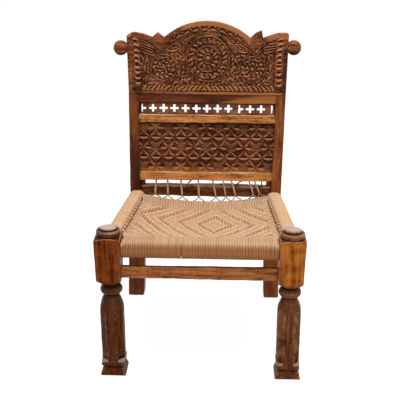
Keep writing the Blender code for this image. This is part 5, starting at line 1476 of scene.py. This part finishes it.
def wrapPath(half, corner, start, finish):
    # Points of a rounded square round a rail, clockwise from a place on one flank: flank, under, front, over.
    knots = [(half, start), (half, -half + corner)]
    for centre, first in (((half - corner, -half + corner), 0), ((-half + corner, -half + corner), -90),
                          ((-half + corner, half - corner), -180)):
        for step in range(1, 5):
            turn = math.radians(first - 90 * step / 4)
            knots.append((centre[0] + corner * math.cos(turn), centre[1] + corner * math.sin(turn)))
    knots.append((half - corner, half))
    if finish is not None:
        for step in range(1, 5):
            turn = math.radians(90 - 90 * step / 4)
            knots.append((half - corner + corner * math.cos(turn), half - corner + corner * math.sin(turn)))
        knots.append((half, finish))
    knots = np.array(knots)
    run = np.concatenate([[0], np.cumsum(np.linalg.norm(np.diff(knots, axis=0), axis=1))])
    even = np.unique(np.concatenate([run, np.arange(0, run[-1], 0.012)]))
    path = np.stack([np.interp(even, run, knots[:, k]) for k in range(2)], 1)
    inner = np.clip(path, -half + corner, half - corner)
    normal = path - inner
    flat = np.linalg.norm(normal, axis=1) < 1e-6
    normal[flat] = path[flat]
    return path, normal / np.linalg.norm(normal, axis=1)[:, None]


def weave():
    # Rows of weft from front to rear, those before and after the woven field hidden under the warps.
    look = seatShape
    dice = np.random.default_rng(5)
    us = (np.arange(look["warps"]) + 0.5) / look["warps"] * 2 - 1
    field = np.linspace(look["weaveFront"], look["weaveRear"], look["wefts"])
    pitchX = 2 * look["half"] / look["warps"]
    pitchY = field[1] - field[0]
    extra = look["plain"]
    ys = field[0] + pitchY * np.arange(-extra, look["wefts"] + extra)
    column, row = np.meshgrid(np.arange(look["warps"]), np.arange(look["wefts"]), indexing="ij")
    x = us[column] * matHalf(field[row])
    # Diamonds one inside another, in steps of two warps and three wefts.
    aside = x - look["middle"][0]
    ahead = field[row] - look["middle"][1] + aside * look["tilt"]
    steps = sum(np.floor(np.abs(away) / (pitch * count) + 0.5) for away, pitch, count in
                ((aside, pitchX, look["block"][0]), (ahead, pitchY, look["block"][1])))
    floats = np.array(look["floats"], float)
    phase = steps.astype(int) % len(floats)
    pattern = floats[phase]
    margin = matHalf(field[row]) - np.abs(x) < look["margin"]
    pattern = np.where(margin, np.where(((column + row) // 2) % 2 == 0, 1.0, -1.0), pattern)
    pairs = np.where((column // 2) % 2 == 0, 1.0, -1.0)
    last = look["wefts"] - 1
    pattern = np.where(row == last, -pairs, np.where(row == last - 1, pairs, pattern))
    over = np.ones((look["warps"], len(ys)))
    over[:, extra:extra + look["wefts"]] = pattern
    # In the long floats every other warp lies lower, in shadow.
    crease = np.zeros_like(over)
    low = (phase > 4) & (column % 2 == 0) & ~margin & (row < last - 1)
    crease[:, extra:extra + look["wefts"]] = low * np.random.default_rng(9).uniform(0.1, 1.0, low.shape)
    return us, ys, over, crease, dice


def groupCentre(y, ys):
    # The middle of the bundle in which a strand goes over the side rail.
    look = seatShape
    span = (ys[1] - ys[0]) * look["group"]
    start = ys[look["plain"]] - (ys[1] - ys[0]) / 2
    return start + (np.floor((y - start) / span) + 0.5) * span


def softened(lift):
    return np.convolve(np.pad(lift, 1, mode="edge"), [0.12, 0.76, 0.12], "valid")


def warpFront(x0, sway, wound, out, dice):
    # Round the front rail: the strands part at one slit and spread at the left end.
    cy, cz = seatShape["frontRail"]
    part = x0 - seatShape["slit"]
    parted = math.copysign(0.0010, part) * math.exp(-(part / 0.006) ** 2)
    line = np.stack([np.full(len(wound), x0 + sway), cy + wound[:, 0], cz + wound[:, 1]], 1)
    line[:, 2] -= cornerFall(x0) * fade(0.0, 0.02, wound[:, 1])
    line[:, 0] += dice.normal(0, 0.00010, len(wound)) + parted * fade(0.0205, 0.014, wound[:, 1])
    line[:, 0] -= 0.0035 * fade(-0.15, -0.21, x0)
    return line, np.stack([wound[:, 0] * 0, out[:, 0], out[:, 1]], 1)


def cornerFall(x0):
    return 0.007 * fade(0.196, 0.211, abs(x0))


def warpMat(u, y, sway, pair, soft, low, dice):
    # Back through the weave, from the front rail's top down into the hollow.
    look = seatShape
    mid = matMiddle(u * matHalf(y) / halfWidth(y), y)
    z = mid + soft * look["lift"] - low * look["crease"] + dice.normal(0, look["uneven"], len(y))
    settle = fade(0.058, 0.085, y)
    rail = look["frontRail"][1] + look["wrap"] - (y - 0.0558) * 0.05
    z = z * settle + (1 - settle) * rail - cornerFall(u * look["half"]) * (1 - settle)
    x = u * matHalf(y) + skew(u, y) + sway + dice.normal(0, 0.00016, len(y)) + pair * fade(0.415, 0.43, y)
    return np.stack([x, y, z], 1), np.tile([0.0, 0.0, 1.0], (len(y), 1))


def warpLoop(u, sway, pair, turns):
    # Round the cord at the rear edge, drawn back beside the lacing, and forward again under the mat.
    look = seatShape
    reach, radius = look["edgeY"], look["loop"]
    x = u * float(halfWidth(np.array(reach))) + pair
    drawn = sum(math.exp(-((x - place) / 0.014) ** 2) for place in laceShape["places"]) * 0.0012
    z = float(matMiddle(u, np.array(look["rear"])))
    loop = np.stack([np.full(len(turns), x + sway), reach + drawn + radius * np.cos(turns),
                     z + radius * np.sin(turns)], 1)
    tail = np.array([[x + sway, 0.479, z - 0.0042], [x + sway, 0.468, z - 0.0030]])
    out = np.stack([turns * 0, np.cos(turns), np.sin(turns)], 1)
    return np.vstack([loop, tail]), np.vstack([out, np.tile([0.0, 0.0, -1.0], (2, 1))])


def warpPaths(us, ys, over, crease, dice):
    look = seatShape
    wound, out = wrapPath(look["wrap"], look["corner"], 0.006, None)
    turns = np.radians([128, 90, 50, 10, -30, -70, -110, -140])
    y = np.concatenate([[0.0600, 0.0650], ys])
    last = len(turns) + 2
    # Painted shade on the underside of the front roll.
    under = fade(-0.013, -0.0205, wound[:, 1]) * 0.8
    # The roll's front and underside darker: a stain, with painted shade at the bottom.
    stain = np.concatenate([fade(0.0225, 0.012, wound[:, 1]), np.zeros(len(y) + last)])
    thick = np.concatenate([np.full(len(wound) + len(y), 0.0037), np.full(last, 0.0024)])
    width = np.concatenate([np.full(len(wound), 0.00428), 2 * matHalf(y) / look["warps"] * 0.98,
                            np.full(last, 0.0040)])
    paths = []
    for i, u in enumerate(us):
        sway = dice.normal(0, 0.00012)
        pair = (0.5 - i % 2) * look["pair"]
        soft = softened(np.concatenate([[1, 1], over[i]]))
        low = softened(np.concatenate([[0, 0], crease[i]]))
        lengths = [warpFront(u * look["half"], sway, wound, out, dice),
                   warpMat(u, y, sway, pair, soft, low, dice), warpLoop(u, sway, pair, turns)]
        line, normal = [np.vstack(parts) for parts in zip(*lengths)]
        line[:, 1] += frontY
        # Painted shade where the warp passes under a weft or lies low in a float, and on its tail under the
        # mat.
        sunken = np.maximum(fade(0.45, -0.35, soft), low * 0.95)
        dive = np.concatenate([under, sunken, np.zeros(len(turns)), [1, 1]])
        paths.append({"points": line, "normals": normal, "tone": dice.normal(0, 0.8), "thick": thick,
                      "width": width, "stain": stain, "dive": dive})
    return paths


def weftPaths(us, ys, over, dice):
    look = seatShape
    paths = []
    pitch = ys[1] - ys[0]
    bend = np.radians([184, 172, 160, 150])
    far = look["sideCorner"] + np.array([0.0040, 0.0040, 0.0030, 0.0002])
    sunk = np.array([0.05, 0.05, 0.05, 0.3])
    for j, y0 in enumerate(ys):
        pull = (groupCentre(y0, ys) - y0) * look["gather"]
        sway = dice.normal(0, 0.0002)
        half = float(halfWidth(np.array(y0)))
        x = us * float(matHalf(np.array(y0)))
        soft = softened(-over[:, j])
        z = matMiddle(x / half, np.full(len(us), y0)) + soft * look["lift"]
        z = z + dice.normal(0, look["uneven"], len(us))
        # Each end climbs the inner shoulder of the side roll in its bundle and goes in between the windings.
        flat = look["wrap"] - look["sideCorner"]
        climb = half + look["clear"] - flat + far * np.cos(bend)
        top = look["sideZ"] - float(sinkAt(y0)) + flat + far * np.sin(bend)
        x = np.concatenate([-climb[::-1] - spread(-1, y0), x + skew(us, y0), climb + spread(1, y0)])
        z = np.concatenate([top[::-1], z, top])
        near = fade(half - 0.019, half - 0.002, np.abs(x))
        line = np.stack([x, y0 + sway + pull * near + frontY, z], 1)
        level = np.tile([0.0, 0.0, 1.0], (len(us), 1))
        rise = np.stack([np.cos(bend), bend * 0, np.sin(bend)], 1)
        normals = np.vstack([rise[::-1] * (-1, 1, 1), level, rise])
        # Painted shade where the weft passes under a warp, weaker in the rows behind the woven field and
        # towards the ends, and on the ends going in between the windings.
        covered = 0.45 if y0 > look["weaveRear"] else 1.0
        dive = np.concatenate([sunk[::-1], fade(0.45, -0.35, soft) * covered, sunk]) * (1 - 0.6 * near)
        paths.append({"points": line, "normals": normals, "tone": dice.normal(0.2, 0.8),
                      "width": pitch * (1.0 - 0.40 * near), "dive": dive})
    return paths


def rollPaths(dice):
    look = seatShape
    wound, woundNormal = wrapPath(look["wrap"], look["sideCorner"], 0.0, 0.0)
    places = np.linspace(*look["rolls"], look["turns"])
    pitch = places[1] - places[0]
    # Painted shade on the windings' inner flank, seen as dark slits between the weft bundles; none at the rear
    # end.
    covered = fade(0.0165, 0.0205, wound[:, 0]) * fade(-0.018, -0.004, wound[:, 1])
    paths = []
    for y0 in places:
        for side in sides:
            rail = float(sideRailX(np.array(y0))) + spread(side, y0)
            shift = np.linspace(-0.4, 0.4, len(wound)) * pitch + dice.normal(0, 0.0002) + frontY
            line = np.stack([side * (rail - wound[:, 0]), y0 + shift,
                             look["sideZ"] - sinkAt(y0) + wound[:, 1]], 1)
            normal = np.stack([-side * woundNormal[:, 0], wound[:, 0] * 0, woundNormal[:, 1]], 1)
            line += normal * dice.normal(0, 0.0002)
            paths.append({"points": line, "normals": normal, "tone": dice.normal(0, 0.8),
                          "width": pitch * 1.03, "dive": covered * fade(0.482, 0.474, y0)})
    return paths


ropeLook = {"lay": 0.0105, "dark": (0.42, 0.185, 0.078), "mid": (0.94, 0.505, 0.258),
            "light": (0.96, 0.72, 0.452), "stain": (0.72, 0.47, 0.25), "groove": (0.33, 0.185, 0.095)}
rope = ropeFinish("seatRope", ropeLook)
us, ys, over, crease, dice = weave()
finishPiece(strandMesh("warpStrands", warpPaths(us, ys, over, crease, dice), 0.0043, 0.0037), rope, "rope",
            "woven_seat", "front_rail_wrap")
finishPiece(strandMesh("weftStrands", weftPaths(us, ys, over, dice), 0.0043, 0.0037), rope, "rope")
finishPiece(strandMesh("sideRolls", rollPaths(dice), 0.0043, 0.0042), rope, "rope",
            "left_rail_wrap", "right_rail_wrap")
print("stage: woven seat")


def edgeCentre(x):
    u = x / float(halfWidth(np.array(seatShape["edgeY"])))
    return np.array([x, seatShape["edgeY"] + frontY, float(matMiddle(u, np.array(seatShape["rear"])))])


def upNormals(line):
    return np.tile([0.0, 0.35, 0.94], (len(line), 1))


def edgeCord():
    line = np.array([edgeCentre(x) for x in np.linspace(-0.198, 0.198, 90)])
    return strandMesh("edgeCord", [{"points": line, "normals": upNormals(line)}], 0.0044, 0.0044, 8)


def lacing(look):
    places = look["places"]
    bends = np.add(places, look["leans"])
    gaps = np.diff(bends)
    lefts = [look["left"]] + [min(look["left"], gap * 0.45) for gap in gaps]
    rights = [min(look["right"], gap * 0.38) for gap in gaps] + [look["right"]]
    turn = math.pi / 4
    radius = look["cord"] / 2
    reach = ((look["edgeCord"] + look["cord"]) / 2 + look["gap"]) / math.cos(turn / 2)

    def roundEdge(x, step):
        return edgeCentre(x) + np.array([0, math.cos(step * turn), math.sin(step * turn)]) * reach

    knots = []
    for x, bend, left, right in zip(places, bends, lefts, rights):
        entry, leave = Vector((x, *look["entry"])), Vector((x, *look["leave"]))
        bore = (leave - entry).normalized()
        hang = radius + 2 * look["gap"]
        loop = [Vector((x, leave.y + hang, entry.z - hang)),
                Vector((x, leave.y + 2 * hang, entry.z + (leave.z - entry.z) * 0.35)),
                leave + bore * 3.2 * radius + Vector((0, radius, -radius)),
                leave + bore * 2.6 * radius + Vector((0, 0, radius)), leave, entry - bore * radius]
        loop = [np.array(backPlace @ p) for p in loop]
        foot = edgeCentre(bend + right)
        fork = loop[-1] + (foot - loop[-1]) * look["fork"]
        fork[0] = bend
        strand = (loop[-1] - fork) / np.linalg.norm(loop[-1] - fork)
        behind = fork + np.cross(strand, (1, 0, 0)) * look["cord"] * 1.25
        knots += [roundEdge(bend - left, step) for step in (-1.2, -0.2)]
        knots += [behind] + loop + [fork]
        for step in range(6):
            knots.append(roundEdge(bend + right + step * radius, 1 + step))
    line = smoothPath(knots, look["step"])
    paths = [{"points": line, "normals": upNormals(line) + 1e-3, "tone": -0.6}]
    # Three loose ends hang from the rail, darker in tone and with painted shade.
    for knots in look["ends"]:
        line = smoothPath([backPlace @ Vector(p) for p in knots], look["step"])
        paths.append({"points": line, "normals": upNormals(line) + 1e-3, "tone": -1.5, "dive": 1.25,
                      "width": look["endWidth"], "thick": look["endWidth"]})
    return strandMesh("lacingCord", paths, look["cord"], look["cord"], 8)


# A darker copy of the seat rope: painted shade for the lacing that hangs under the lower back rail.
shadedLaceLook = dict(ropeLook, dark=(0.20, 0.09, 0.04), mid=(0.62, 0.35, 0.165), light=(0.85, 0.56, 0.32))
shadedLaceRope = ropeFinish("shadedLaceRope", shadedLaceLook)
finishPiece(edgeCord(), rope, "rope", "seat_edge_cord")
finishPiece(lacing(laceShape), shadedLaceRope, "rope", "lacing_cord")
print("stage: edge cord and lacing")
